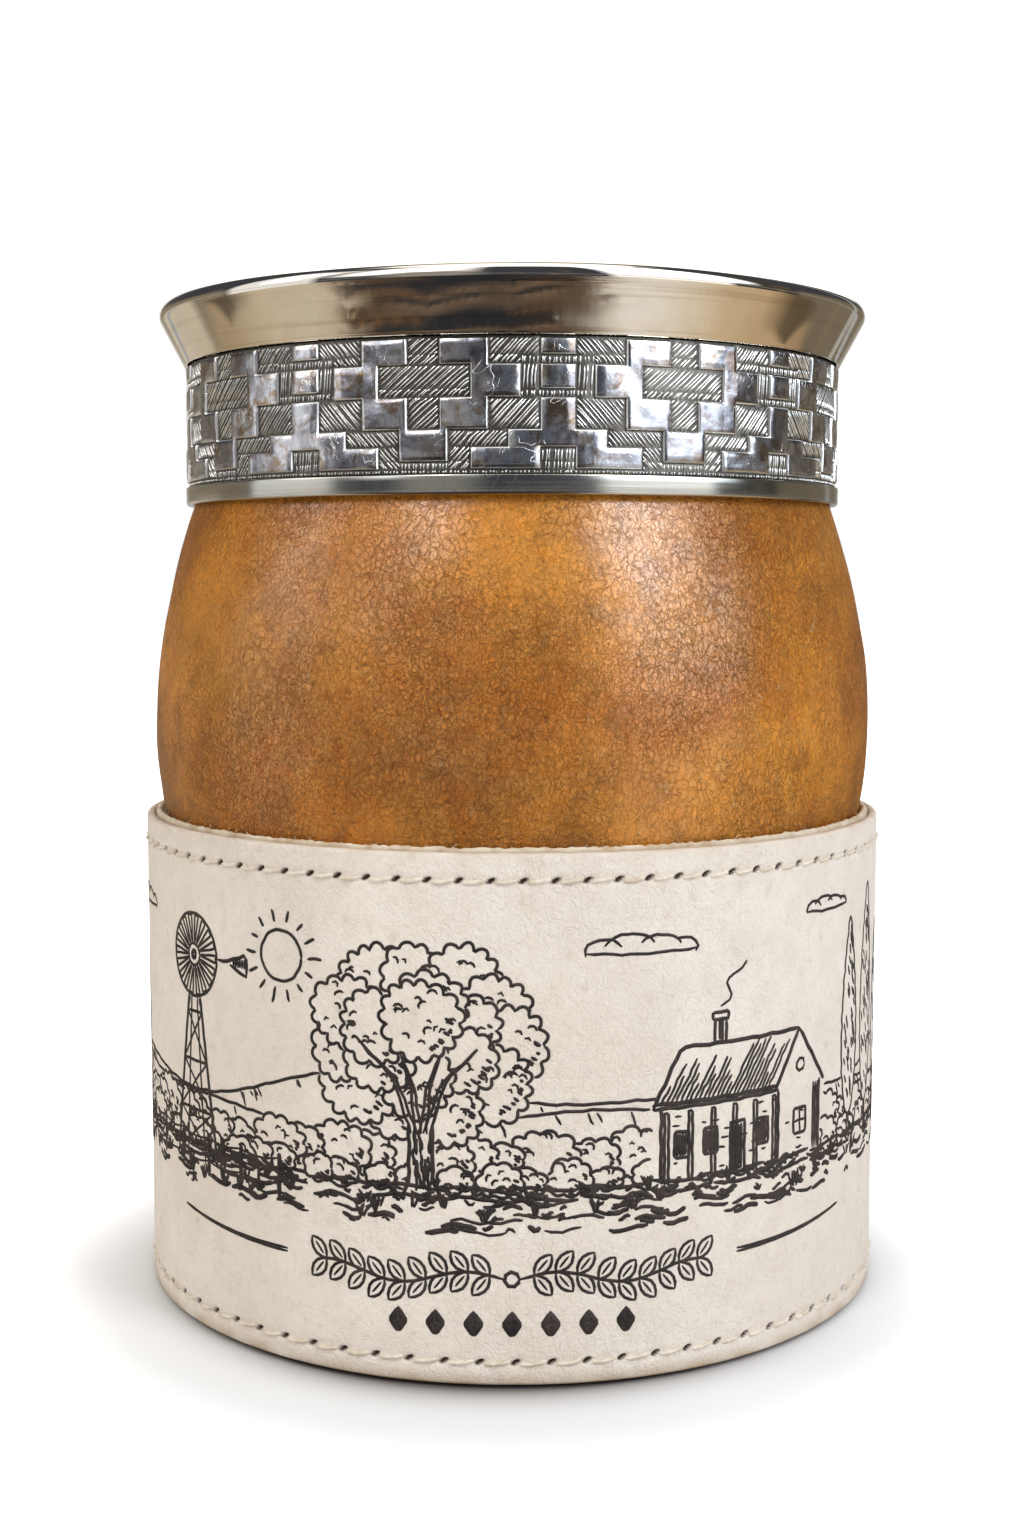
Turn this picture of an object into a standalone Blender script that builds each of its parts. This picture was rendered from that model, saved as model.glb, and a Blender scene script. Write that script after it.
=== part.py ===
# A leather-covered mate gourd. A dried gourd in a tan leather cover stands in a sewn
# rawhide cuff, and a chased nickel-silver ferrule is set round its mouth.
# Units are metres, +Z is up, and the origin is the centre of the underside.
# The front faces -Y, and every seam is at the back.

import math

import bmesh
import bpy
from mathutils import Matrix, Vector

MM = 0.001

# Clearances between pieces that touch on the real object.
GAP = 0.3 * MM
THREAD_GAP = 0.15 * MM

# The cuff and the base that closes it.
CUFF_RADIUS = 42.0 * MM
CUFF_HEIGHT = 52.8 * MM
CUFF_LIFT = 0.4 * MM
CUFF_LEATHER = 0.85 * MM
CUFF_EDGE_ROUND = 0.35 * MM
LINING_LEATHER = 0.6 * MM
LINING_PROUD = 0.3 * MM
SOLE_THICKNESS = 1.6 * MM
SOLE_INSET = 0.4 * MM
SOLE_CHAMFER = 0.4 * MM
BOARD_THICKNESS = 2.5 * MM

# The gourd and its leather cover. The belly's curves are powers of the height.
GOURD_STANDOFF = 1.9 * MM
SHOULDER_HEIGHT = 34.3 * MM
BELLY_RISE = 9.2 * MM
BELLY_POWER = 1.77
SHOULDER_POWER = 1.94
NECK_STEP = 0.17 * MM
COVER_LEATHER = 1.6 * MM
COVER_TUCK = 4.5 * MM
GOURD_WALL = 4.4 * MM
GOURD_NECK_TOP = 2.5 * MM
BASE_DISC_RADIUS = 13.0 * MM
DISC_LAND = 2.0 * MM

# The cork seat under the gourd. It clears the sewing round the base disc.
SEAT_CLEARANCE = 1.0 * MM
SEAT_WIDTH = 11.0 * MM

# The ferrule: trim ring, chased band, flared lip on a wire, and the funnel inside it.
BAND_RADIUS = 36.95 * MM
BAND_HEIGHT = 13.0 * MM
BAND_SHEET = 0.6 * MM
PLATE_RELIEF = 0.35 * MM
PLATE_DRAFT = 0.12 * MM
TRIM_HEIGHT = 1.7 * MM
TRIM_PROUD = 0.1 * MM
TRIM_ROUND = 0.3 * MM
FLARE_HEIGHT = 6.5 * MM
LIP_REACH = 2.7 * MM
LIP_SHEET = 0.5 * MM
BEAD_RADIUS = 1.1 * MM
BEAD_CURL_END = 215.0
WIRE_CLEARANCE = 0.15 * MM
THROAT_DROP = 9.9 * MM
FUNNEL_TUBE = 6.5 * MM
FUNNEL_POWER = 1.6

# Sewing.
THREAD_RADIUS = 0.27 * MM
TOP_PITCH = 3.13 * MM
BOTTOM_PITCH = 3.55 * MM
ROW_INSET = 2.5 * MM
STITCH_SAG = 0.2 * MM
STITCH_RISE = 0.1 * MM
HOLE_THREAD_SHARE = 0.6
SEAM_SLIT = 0.4 * MM
SEAM_PITCH = 4.0 * MM
SEAM_BITE = 1.5 * MM
LINING_SEAM_OFFSET = 6.0 * MM
DISC_STITCHES = 16

# The band's stepped figures. A repeat is mirrored about its stepped cross, so the
# edges give half of it, in degrees from the centre of a cross to the centre of a
# pyramid. Rows run from the top down, each with its height, and # is a raised plate.
REPEATS = 9
FIRST_PYRAMID = 6.8
HAND_DRIFT = 1.7
COLUMN_EDGES = (0.0, 2.5, 3.7, 7.1, 9.7, 12.6, 14.5, 17.4, 20.0)
PATTERN_ROWS = (
    (0.25, "........"),
    (1.55, ".###...#"),
    (0.90, ".###...."),
    (2.30, "...###.#"),
    (0.80, "...###.."),
    (3.00, ".###...#"),
    (1.65, "##...###"),
    (1.35, "##.####."),
    (0.70, "...####."),
    (0.50, "........"),
)

# Facets round each turned piece.
FACETS = 48
LIP_FACETS = 56

# Levels and radii that follow from the sizes above.
cuff_top = CUFF_LIFT + CUFF_HEIGHT
cuff_inner = CUFF_RADIUS - CUFF_LEATHER
lining_outer = cuff_inner - GAP
lining_inner = lining_outer - LINING_LEATHER
lining_foot = SOLE_THICKNESS + GAP
board_top = lining_foot + BOARD_THICKNESS
seat_foot = board_top + GAP
seat_inner = BASE_DISC_RADIUS + SEAM_BITE / 2 + THREAD_RADIUS + SEAT_CLEARANCE
seat_outer = seat_inner + SEAT_WIDTH

trim_foot = cuff_top + SHOULDER_HEIGHT
trim_top = trim_foot + TRIM_HEIGHT
band_foot = trim_top + GAP
band_top = band_foot + BAND_HEIGHT
flare_foot = band_top + GAP
lip_top = flare_foot + FLARE_HEIGHT
band_ground = BAND_RADIUS - PLATE_RELIEF
band_inner = band_ground - BAND_SHEET

neck_radius = band_inner - GAP
neck_foot = trim_foot + 2 * GAP
cover_top = band_foot + COVER_TUCK
gourd_top = cover_top + GOURD_NECK_TOP
gourd_mouth = neck_radius - COVER_LEATHER - GAP - GOURD_WALL
throat_radius = gourd_mouth - GAP - LIP_SHEET
belly_foot = board_top + GOURD_STANDOFF
belly_level = cuff_top + BELLY_RISE
belly_depth = belly_level - belly_foot
lip_share = BELLY_RISE / belly_depth
belly_radius = (lining_inner - GAP) / math.sqrt(1 - lip_share**BELLY_POWER)

bead_radius_out = BAND_RADIUS + LIP_REACH - BEAD_RADIUS
bead_level = lip_top - BEAD_RADIUS


def clear_scene():
    for obj in list(bpy.data.objects):
        bpy.data.objects.remove(obj)


def new_collection(name):
    collection = bpy.data.collections.new(name)
    bpy.context.scene.collection.children.link(collection)
    return collection


def new_material(name, color, roughness, metallic=0.0):
    material = bpy.data.materials.new(name)
    material.use_nodes = True
    shader = material.node_tree.nodes["Principled BSDF"]
    shader.inputs["Base Color"].default_value = (*color, 1.0)
    shader.inputs["Roughness"].default_value = roughness
    shader.inputs["Metallic"].default_value = metallic
    return material


def add_part(name, data, material):
    obj = bpy.data.objects.new(name, data)
    parts.objects.link(obj)
    data.materials.append(material)
    return obj


def applied(obj):
    """Makes the modifiers real, and shades the mesh smooth between its sharp edges."""
    bpy.context.view_layer.update()
    evaluated = obj.evaluated_get(bpy.context.evaluated_depsgraph_get())
    mesh = bpy.data.meshes.new_from_object(evaluated)
    mesh.name = obj.name
    obj.modifiers.clear()
    obj.data = mesh
    mesh.shade_smooth()
    mesh.set_sharp_from_angle(angle=math.radians(35))
    return obj


def add_screw(obj, facets):
    screw = obj.modifiers.new("turn", "SCREW")
    screw.steps = facets
    screw.render_steps = facets
    screw.use_merge_vertices = True
    screw.merge_threshold = 0.00001


def turned(name, profile, material, facets=FACETS):
    """A solid of revolution. The closed profile runs down its outer side."""
    mesh = bpy.data.meshes.new(name)
    count = len(profile)
    edges = [(index, (index + 1) % count) for index in range(count)]
    if profile[0][0] == 0.0 and profile[-1][0] == 0.0:
        edges.pop()
    mesh.from_pydata([(r, 0.0, z) for r, z in profile], edges, [])
    obj = add_part(name, mesh, material)
    add_screw(obj, facets)
    return obj


def turned_shell(name, profile, wall, side, material, facets=FACETS):
    """A turned sheet. side is -1 for a wall inside the profile, 1 for one outside it."""
    mesh = bpy.data.meshes.new(name)
    edges = [(index, index + 1) for index in range(len(profile) - 1)]
    mesh.from_pydata([(r, 0.0, z) for r, z in profile], edges, [])
    obj = add_part(name, mesh, material)
    add_screw(obj, facets)
    solidify = obj.modifiers.new("wall", "SOLIDIFY")
    solidify.thickness = wall
    solidify.offset = side
    solidify.use_even_offset = True
    return obj


def arc(r, z, radius, start, end, steps):
    """Points on a round corner about (r, z), from one angle in degrees to another."""
    angles = [math.radians(start + (end - start) * step / steps) for step in range(steps + 1)]
    return [(r + radius * math.cos(a), z + radius * math.sin(a)) for a in angles]


def cut_slit(obj, across):
    """Parts a ring at the back, where its two ends meet in a butt seam."""
    cutter_mesh = bpy.data.meshes.new(obj.name + "_slit")
    shape = bmesh.new()
    size = Matrix.Diagonal((SEAM_SLIT, CUFF_RADIUS, 2 * lip_top, 1.0))
    place = Matrix.Translation((across, CUFF_RADIUS, lip_top / 2))
    bmesh.ops.create_cube(shape, size=1.0, matrix=place @ size)
    shape.to_mesh(cutter_mesh)
    shape.free()
    cutter = bpy.data.objects.new(obj.name + "_slit", cutter_mesh)
    cutter.hide_render = True
    cutter.display_type = "WIRE"
    cutters.objects.link(cutter)
    cut = obj.modifiers.new("slit", "BOOLEAN")
    cut.object = cutter
    cut.operation = "DIFFERENCE"
    cut.solver = "EXACT"
    return obj


def cover_radius(z):
    """The cover's outer radius at a height between the cork seat and the neck."""
    if z > belly_level:
        share = (z - belly_level) / (neck_foot - belly_level)
        return belly_radius - (belly_radius - neck_radius - NECK_STEP) * share**SHOULDER_POWER
    share = (belly_level - z) / belly_depth
    return belly_radius * math.sqrt(1 - share**BELLY_POWER)


def underside_level(r):
    """The height of the cover's underside at a radius from the axis."""
    return belly_level - belly_depth * (1 - (r / belly_radius) ** 2) ** (1 / BELLY_POWER)


def underside_slope(r):
    step = 0.1 * MM
    return (underside_level(r + step) - underside_level(r - step)) / (2 * step)


def cover_profile(top, last_radius, shoulder_steps, belly_steps):
    """The cover's outer line, down the neck, over the shoulder and round the belly."""
    points = [(neck_radius, top), (neck_radius, neck_foot + NECK_STEP)]
    for step in range(shoulder_steps + 1):
        z = neck_foot + (belly_level - neck_foot) * step / shoulder_steps
        points.append((cover_radius(z), z))
    turn = math.acos(last_radius / belly_radius)
    for step in range(1, belly_steps + 1):
        r = belly_radius * math.cos(turn * step / belly_steps)
        points.append((r, underside_level(r)))
    if last_radius == 0.0:
        points[-1] = (0.0, belly_foot)
    else:
        land = last_radius + DISC_LAND
        points.insert(-1, (land, underside_level(land)))
    return points


def inset_profile(points, distance):
    """The same line moved inwards along its normals, with its top kept level."""
    moved = []
    for index, (r, z) in enumerate(points):
        before = Vector(points[max(index - 1, 0)])
        after = Vector(points[min(index + 1, len(points) - 1)])
        along = (after - before).normalized()
        if index == 0:
            moved.append((r - distance, z))
        elif r == 0.0:
            moved.append((0.0, z + distance))
        else:
            moved.append((r + along.y * distance, z - along.x * distance))
    return moved


def thread(name, places, radii, closed, material):
    """One unbroken length of thread through the places given."""
    curve = bpy.data.curves.new(name, "CURVE")
    curve.dimensions = "3D"
    curve.bevel_depth = THREAD_RADIUS
    curve.bevel_resolution = 0
    curve.use_fill_caps = True
    spline = curve.splines.new("POLY")
    spline.points.add(len(places) - 1)
    spline.use_cyclic_u = closed
    for point, place, radius in zip(spline.points, places, radii):
        point.co = (*place, 1.0)
        point.radius = radius
    return add_part(name, curve, material)


def around(radius, degrees, z):
    """A place at a radius and height, turned from the front towards +X."""
    turn = math.radians(degrees)
    return (radius * math.sin(turn), -radius * math.cos(turn), z)


def stitch_row(name, pitch, level, material):
    """A row round the cuff. The thread swells and sags over each stitch, and thins at
    the hole between two. An even count keeps the row balanced."""
    count = 2 * round(math.pi * CUFF_RADIUS / pitch)
    step = 360.0 / count
    rest = CUFF_RADIUS + THREAD_GAP + THREAD_RADIUS
    places = []
    for index in range(count):
        places.append(around(rest + STITCH_RISE, index * step, level - STITCH_SAG))
        places.append(around(rest, (index + 0.5) * step, level))
    return thread(name, places, [1.0, HOLE_THREAD_SHARE] * count, True, material)


def seam_lacing(name, low, high, surface_radius, material):
    """Thread that crosses a butt seam at the back from side to side on its way up."""
    count = 2 * max(1, round((high - low) / SEAM_PITCH))
    places = []
    for index in range(count + 1):
        z = low + (high - low) * index / count
        radius = surface_radius(z) + THREAD_GAP + THREAD_RADIUS
        swing = math.degrees(SEAM_BITE / radius)
        places.append(around(radius, 180.0 + (swing if index % 2 else -swing), z))
    return thread(name, places, [1.0] * len(places), False, material)


def make_outsole(material):
    radius = cuff_inner - SOLE_INSET
    profile = [
        (0.0, SOLE_THICKNESS),
        (radius, SOLE_THICKNESS),
        (radius, SOLE_CHAMFER),
        (radius - SOLE_CHAMFER, 0.0),
        (0.0, 0.0),
    ]
    applied(turned("outsole", profile, material))


def make_base_board(material):
    radius = lining_inner - GAP
    profile = [(0.0, board_top), (radius, board_top), (radius, lining_foot), (0.0, lining_foot)]
    applied(turned("base_board", profile, material))


def make_seat_pad(material):
    """A dished ring whose top follows the cover's underside."""
    steps = 4
    dish = []
    for step in range(steps + 1):
        r = seat_inner + SEAT_WIDTH * step / steps
        drop = GAP * math.hypot(1.0, underside_slope(r))
        dish.append((r, underside_level(r) - drop))
    foot = [(seat_outer, seat_foot), (seat_inner, seat_foot)]
    applied(turned("seat_pad", [dish[-1], *foot, *dish[:-1]], material))


def make_cuff(leather, lining_leather, cord):
    edge = CUFF_RADIUS - CUFF_EDGE_ROUND
    upper = arc(edge, cuff_top - CUFF_EDGE_ROUND, CUFF_EDGE_ROUND, 90, 0, 2)
    lower = arc(edge, CUFF_LIFT + CUFF_EDGE_ROUND, CUFF_EDGE_ROUND, 0, -90, 2)
    profile = [*upper, *lower, (cuff_inner, CUFF_LIFT), (cuff_inner, cuff_top)]
    applied(cut_slit(turned("cuff_outer", profile, leather), 0.0))

    lining_top = cuff_top + LINING_PROUD
    profile = [
        (lining_outer, lining_top),
        (lining_outer, lining_foot),
        (lining_inner, lining_foot),
        (lining_inner, lining_top),
    ]
    applied(cut_slit(turned("cuff_lining", profile, lining_leather), LINING_SEAM_OFFSET))

    top_row = cuff_top - ROW_INSET
    bottom_row = CUFF_LIFT + ROW_INSET
    stitch_row("cuff_top_stitching", TOP_PITCH, top_row, cord)
    stitch_row("cuff_bottom_stitching", BOTTOM_PITCH, bottom_row, cord)
    low = bottom_row + ROW_INSET
    high = top_row - ROW_INSET
    seam_lacing("cuff_seam_thread", low, high, lambda z: CUFF_RADIUS, cord)


def make_cover(leather, cord):
    half_gap = GAP / 2
    profile = cover_profile(cover_top, BASE_DISC_RADIUS + half_gap, 6, 5)
    shell = turned_shell("body_cover", profile, COVER_LEATHER, -1, leather)
    applied(cut_slit(shell, 0.0))

    rim = BASE_DISC_RADIUS - half_gap
    disc = [(r, underside_level(r)) for r in (rim, rim - DISC_LAND, rim / 2)]
    disc.append((0.0, belly_foot))
    applied(turned_shell("cover_base_disc", disc, COVER_LEATHER, -1, leather))

    low = cuff_top + SEAM_PITCH / 2
    seam_lacing("cover_seam_thread", low, trim_foot - SEAM_PITCH / 2, cover_radius, cord)

    places = []
    for index in range(2 * DISC_STITCHES):
        r = BASE_DISC_RADIUS + (SEAM_BITE / 2 if index % 2 else -SEAM_BITE)
        drop = (THREAD_GAP + THREAD_RADIUS) * math.hypot(1.0, underside_slope(r))
        places.append(around(r, index * 180.0 / DISC_STITCHES, underside_level(r) - drop))
    thread("cover_base_thread", places, [1.0] * len(places), True, cord)


def make_gourd(material):
    outer = cover_profile(gourd_top, 0.0, 6, 8)
    lightened = [*outer[:3], *outer[4:-1:2], outer[-1]]
    profile = inset_profile(lightened, COVER_LEATHER + GAP)
    applied(turned_shell("gourd_shell", profile, GOURD_WALL, -1, material))


def make_trim_ring(material):
    outer = BAND_RADIUS + TRIM_PROUD
    inner = cover_radius(trim_foot) + GAP
    corner = arc(outer - TRIM_ROUND, trim_foot + TRIM_ROUND, TRIM_ROUND, 0, -90, 2)
    profile = [(outer, trim_top), *corner, (inner, trim_foot), (inner, trim_top)]
    applied(turned("trim_ring", profile, material, LIP_FACETS))


def placed_column(degrees):
    """Where a point of the even grid goes: its column's real width, then the phase."""
    repeat = 360.0 / REPEATS
    even = repeat / 2 / (len(COLUMN_EDGES) - 1)
    whole = math.floor(degrees / repeat + 0.5)
    offset = degrees - whole * repeat
    cell = min(int(abs(offset) / even), len(COLUMN_EDGES) - 2)
    share = abs(offset) / even - cell
    widest = COLUMN_EDGES[-1]
    edge = COLUMN_EDGES[cell] * (1 - share) + COLUMN_EDGES[cell + 1] * share
    scaled = math.copysign(edge / widest * repeat / 2, offset)
    turned_to = whole * repeat + scaled + FIRST_PYRAMID - repeat / 2
    return turned_to + HAND_DRIFT * math.sin(math.radians(turned_to))


def make_patterned_band(material):
    """A ring whose outer face is a grid of cells. Raised cells are inset and lifted."""
    total = sum(height for height, _ in PATTERN_ROWS)
    levels = [band_top]
    for height, _ in PATTERN_ROWS:
        levels.append(levels[-1] - height / total * BAND_HEIGHT)
    columns = 2 * (len(COLUMN_EDGES) - 1) * REPEATS

    shape = bmesh.new()
    profile = [(band_ground, z) for z in levels] + [(band_inner, band_foot), (band_inner, band_top)]
    verts = [shape.verts.new((0.0, -r, z)) for r, z in profile]
    edges = [shape.edges.new((verts[i], verts[(i + 1) % len(verts)])) for i in range(len(verts))]
    bmesh.ops.spin(
        shape, geom=verts + edges, cent=(0, 0, 0), axis=(0, 0, 1), steps=columns, angle=math.tau
    )
    bmesh.ops.remove_doubles(shape, verts=shape.verts, dist=0.00001)
    bmesh.ops.recalc_face_normals(shape, faces=shape.faces)

    raised = []
    half = len(COLUMN_EDGES) - 1
    for face in shape.faces:
        centre = face.calc_center_median()
        if math.hypot(centre.x, centre.y) < (band_ground + band_inner) / 2:
            continue
        if not band_foot < centre.z < band_top or abs(face.normal.z) > 0.5:
            continue
        row = sum(1 for z in levels[1:] if z > centre.z)
        column = int(math.degrees(math.atan2(centre.x, -centre.y)) % 360.0 / 360.0 * columns)
        column %= 2 * half
        cell = min(column, 2 * half - 1 - column)
        if PATTERN_ROWS[row][1][cell] == "#":
            raised.append(face)
    bmesh.ops.inset_region(
        shape, faces=raised, thickness=PLATE_DRAFT, depth=PLATE_RELIEF, use_even_offset=True
    )
    for vert in shape.verts:
        radius = math.hypot(vert.co.x, vert.co.y)
        degrees = math.degrees(math.atan2(vert.co.x, -vert.co.y))
        vert.co = around(radius, placed_column(degrees), vert.co.z)
    flat = math.radians(0.05)
    bmesh.ops.dissolve_limit(shape, angle_limit=flat, verts=shape.verts, edges=shape.edges)
    mesh = bpy.data.meshes.new("patterned_band")
    shape.to_mesh(mesh)
    shape.free()
    add_part("patterned_band", mesh, material)
    mesh.shade_smooth()
    mesh.set_sharp_from_angle(angle=math.radians(20))


def make_lip(material, wire_material):
    """The lip's sheet rises in a straight flare and curls inwards over its wire."""
    foot = Vector((BAND_RADIUS, flare_foot))
    bead = Vector((bead_radius_out, bead_level))
    reach = bead - foot
    bearing = math.atan2(reach.y, reach.x)
    lean = bearing - math.asin(BEAD_RADIUS / reach.length)
    touch = math.degrees(lean) - 90.0
    profile = [*arc(bead.x, bead.y, BEAD_RADIUS, BEAD_CURL_END, touch, 6), tuple(foot)]
    applied(turned_shell("lip_flare", profile, LIP_SHEET, -1, material, LIP_FACETS))

    wire_radius = BEAD_RADIUS - LIP_SHEET - WIRE_CLEARANCE
    bpy.ops.mesh.primitive_torus_add(
        major_radius=bead.x,
        minor_radius=wire_radius,
        major_segments=FACETS,
        minor_segments=5,
        location=(0.0, 0.0, bead.y),
    )
    wire = bpy.context.object
    wire.name = "rim_wire"
    wire.data.materials.append(wire_material)
    for collection in list(wire.users_collection):
        collection.objects.unlink(wire)
    parts.objects.link(wire)
    wire.data.shade_smooth()


def funnel_mouth():
    """The funnel's upper edge, just under the end of the lip's curl."""
    turn = math.radians(BEAD_CURL_END)
    reach = BEAD_RADIUS + GAP
    return bead_radius_out + reach * math.cos(turn), bead_level + reach * math.sin(turn)


def funnel_radius(z):
    mouth, top = funnel_mouth()
    share = max(0.0, 1 - (top - z) / THROAT_DROP)
    return throat_radius + (mouth - throat_radius) * share**FUNNEL_POWER


def make_funnel(material):
    top = funnel_mouth()[1]
    levels = [top - THROAT_DROP * step / 4 for step in range(5)]
    levels.append(levels[-1] - FUNNEL_TUBE)
    profile = [(funnel_radius(z), z) for z in levels]
    applied(turned_shell("inner_funnel", profile, LIP_SHEET, 1, material))


def make_cement(material):
    """The filler that beds the ferrule on the gourd's rim, under the funnel."""
    rim_outer = neck_radius - COVER_LEATHER
    rim_level = gourd_top + GAP
    step = 0.05 * MM
    under_funnel = []
    for share in (0.0, 0.35, 0.7, 1.0):
        z = rim_level + (band_top - rim_level) * share
        slope = (funnel_radius(z + step) - funnel_radius(z - step)) / (2 * step)
        offset = (LIP_SHEET + GAP) * math.hypot(1.0, slope)
        under_funnel.append((max(gourd_mouth, funnel_radius(z) + offset), z))
    profile = [
        (neck_radius, band_top),
        (neck_radius, cover_top + GAP),
        (rim_outer, cover_top + GAP),
        (rim_outer, rim_level),
        *under_funnel,
    ]
    applied(turned("setting_cement", profile, material))


clear_scene()
parts = new_collection("leather_covered_mate_gourd")
cutters = new_collection("cutters")

rawhide = new_material("rawhide", (0.79, 0.73, 0.64), 0.75)
raw_edge = new_material("raw_edge", (0.58, 0.47, 0.34), 0.85)
tan_leather = new_material("tan_leather", (0.43, 0.18, 0.05), 0.45)
cream_thread = new_material("cream_thread", (0.72, 0.63, 0.50), 0.7)
sole_leather = new_material("sole_leather", (0.07, 0.05, 0.04), 0.8)
board = new_material("board", (0.42, 0.33, 0.22), 0.85)
cork = new_material("cork", (0.45, 0.29, 0.15), 0.9)
dried_gourd = new_material("dried_gourd", (0.42, 0.27, 0.13), 0.7)
nickel_silver = new_material("nickel_silver", (0.66, 0.64, 0.60), 0.22, 1.0)
chased_silver = new_material("chased_silver", (0.42, 0.42, 0.42), 0.35, 1.0)
steel_wire = new_material("steel_wire", (0.45, 0.45, 0.46), 0.4, 1.0)
cement = new_material("cement", (0.16, 0.13, 0.10), 0.9)

make_outsole(sole_leather)
make_base_board(board)
make_seat_pad(cork)
make_cuff(rawhide, raw_edge, cream_thread)
make_cover(tan_leather, cream_thread)
make_gourd(dried_gourd)
make_trim_ring(nickel_silver)
make_patterned_band(chased_silver)
make_lip(nickel_silver, steel_wire)
make_funnel(nickel_silver)
make_cement(cement)
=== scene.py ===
import math

import bmesh
import bpy
import numpy as np
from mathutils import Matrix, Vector


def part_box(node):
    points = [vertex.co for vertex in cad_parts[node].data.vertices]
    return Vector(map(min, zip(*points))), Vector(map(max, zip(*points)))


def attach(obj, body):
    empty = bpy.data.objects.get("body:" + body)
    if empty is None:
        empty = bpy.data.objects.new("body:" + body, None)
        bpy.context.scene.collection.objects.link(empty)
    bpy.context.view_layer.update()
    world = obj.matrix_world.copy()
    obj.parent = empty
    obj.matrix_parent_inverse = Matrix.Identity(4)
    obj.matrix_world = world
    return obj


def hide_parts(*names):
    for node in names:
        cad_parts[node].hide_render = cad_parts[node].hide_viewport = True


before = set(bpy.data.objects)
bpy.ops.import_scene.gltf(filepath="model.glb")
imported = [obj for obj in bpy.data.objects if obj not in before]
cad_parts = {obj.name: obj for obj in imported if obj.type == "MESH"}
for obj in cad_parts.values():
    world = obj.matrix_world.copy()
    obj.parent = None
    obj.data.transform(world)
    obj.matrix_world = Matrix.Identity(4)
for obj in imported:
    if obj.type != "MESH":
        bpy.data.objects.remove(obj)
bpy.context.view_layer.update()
print("frame: loaded", len(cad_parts), "nodes")

# A leather-covered mate gourd in its sewn cuff, dressed for a product picture.
# Lengths are millimetres up to makeMesh, which turns them into metres. Angles run
# from the front (-Y) towards +X, so a place on the piece is an angle and a height.
scene = bpy.context.scene
fullTurn = 2 * math.pi


def nodeBox(name):  # lowest and highest corner of a CAD node, in millimetres
    low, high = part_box(name)
    return low * 1000, high * 1000


sizes = {
    "cuffRadius": nodeBox("cuff_outer")[1].x,
    "cuffFoot": nodeBox("cuff_outer")[0].z,
    "cuffTop": nodeBox("cuff_outer")[1].z,
    "liningRadius": nodeBox("cuff_lining")[1].x,
    "liningFoot": nodeBox("cuff_lining")[0].z,
    "liningTop": nodeBox("cuff_lining")[1].z,
    "bellyRadius": nodeBox("body_cover")[1].x,
    "coverTop": nodeBox("body_cover")[1].z,
    "neckRadius": nodeBox("setting_cement")[1].x,
    "trimFoot": nodeBox("trim_ring")[0].z,
    "trimRadius": nodeBox("trim_ring")[1].x,
    "bandFoot": nodeBox("patterned_band")[0].z,
    "bandTop": nodeBox("patterned_band")[1].z,
    "flareFoot": nodeBox("lip_flare")[0].z,
    "lipRadius": nodeBox("lip_flare")[1].x,
    "wireRing": (nodeBox("rim_wire")[1].z + nodeBox("rim_wire")[0].z) / 2,
    "soleRadius": nodeBox("outsole")[1].x,
    "soleTop": nodeBox("outsole")[1].z,
    "topRow": (nodeBox("cuff_top_stitching")[0].z + nodeBox("cuff_top_stitching")[1].z) / 2,
    "bottomRow": (nodeBox("cuff_bottom_stitching")[0].z + nodeBox("cuff_bottom_stitching")[1].z) / 2,
}

# Camera first: the place and lens that the photograph was taken with.
cameraFacts = {"distance": 227.64, "height": 79.53, "pitch": 0.097, "lens": 45.89}
cameraData = bpy.data.cameras.new("camera")
cameraData.lens = cameraFacts["lens"]
cameraData.sensor_width = 36.0
cameraData.clip_start = 0.01
camera = bpy.data.objects.new("camera", cameraData)
camera.location = (0.0, -cameraFacts["distance"] / 1000, cameraFacts["height"] / 1000)
camera.rotation_euler = (math.pi / 2 - cameraFacts["pitch"], 0.0, 0.0)
scene.collection.objects.link(camera)
scene.camera = camera
print("camera: placed")


# Mesh helpers
def makeMesh(name, points, faceSets, masks=None, mergePoles=False):
    # Points are (n, 3) in millimetres. Each face set is an array with one face a row.
    mesh = bpy.data.meshes.new(name)
    points = np.asarray(points, dtype=np.float64).reshape(-1, 3) / 1000
    mesh.vertices.add(len(points))
    mesh.vertices.foreach_set("co", points.astype(np.float32).ravel())
    corners = np.concatenate([np.asarray(faces).ravel() for faces in faceSets]).astype(np.int32)
    counts = np.concatenate([np.full(len(faces), np.shape(faces)[1]) for faces in faceSets])
    starts = np.concatenate([[0], np.cumsum(counts)[:-1]]).astype(np.int32)
    mesh.loops.add(len(corners))
    mesh.loops.foreach_set("vertex_index", corners)
    mesh.polygons.add(len(counts))
    mesh.polygons.foreach_set("loop_start", starts)
    mesh.update(calc_edges=True)
    for maskName, values in (masks or {}).items():
        layer = mesh.attributes.new(maskName, "FLOAT", "POINT")
        layer.data.foreach_set("value", np.asarray(values, dtype=np.float32).ravel())
    if mergePoles:
        shape = bmesh.new()
        shape.from_mesh(mesh)
        bmesh.ops.remove_doubles(shape, verts=shape.verts, dist=1e-7)
        bmesh.ops.dissolve_degenerate(shape, edges=shape.edges, dist=1e-8)
        shape.to_mesh(mesh)
        shape.free()
    mesh.shade_smooth()
    obj = bpy.data.objects.new(name, mesh)
    scene.collection.objects.link(obj)
    return obj


def dress(obj, material, slotName, *nodes):  # one piece, its finish and the node it stands for
    obj.data.materials.clear()
    obj.data.materials.append(material)
    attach(obj, "root")
    if nodes:
        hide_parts(*nodes)
    return obj


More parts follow.
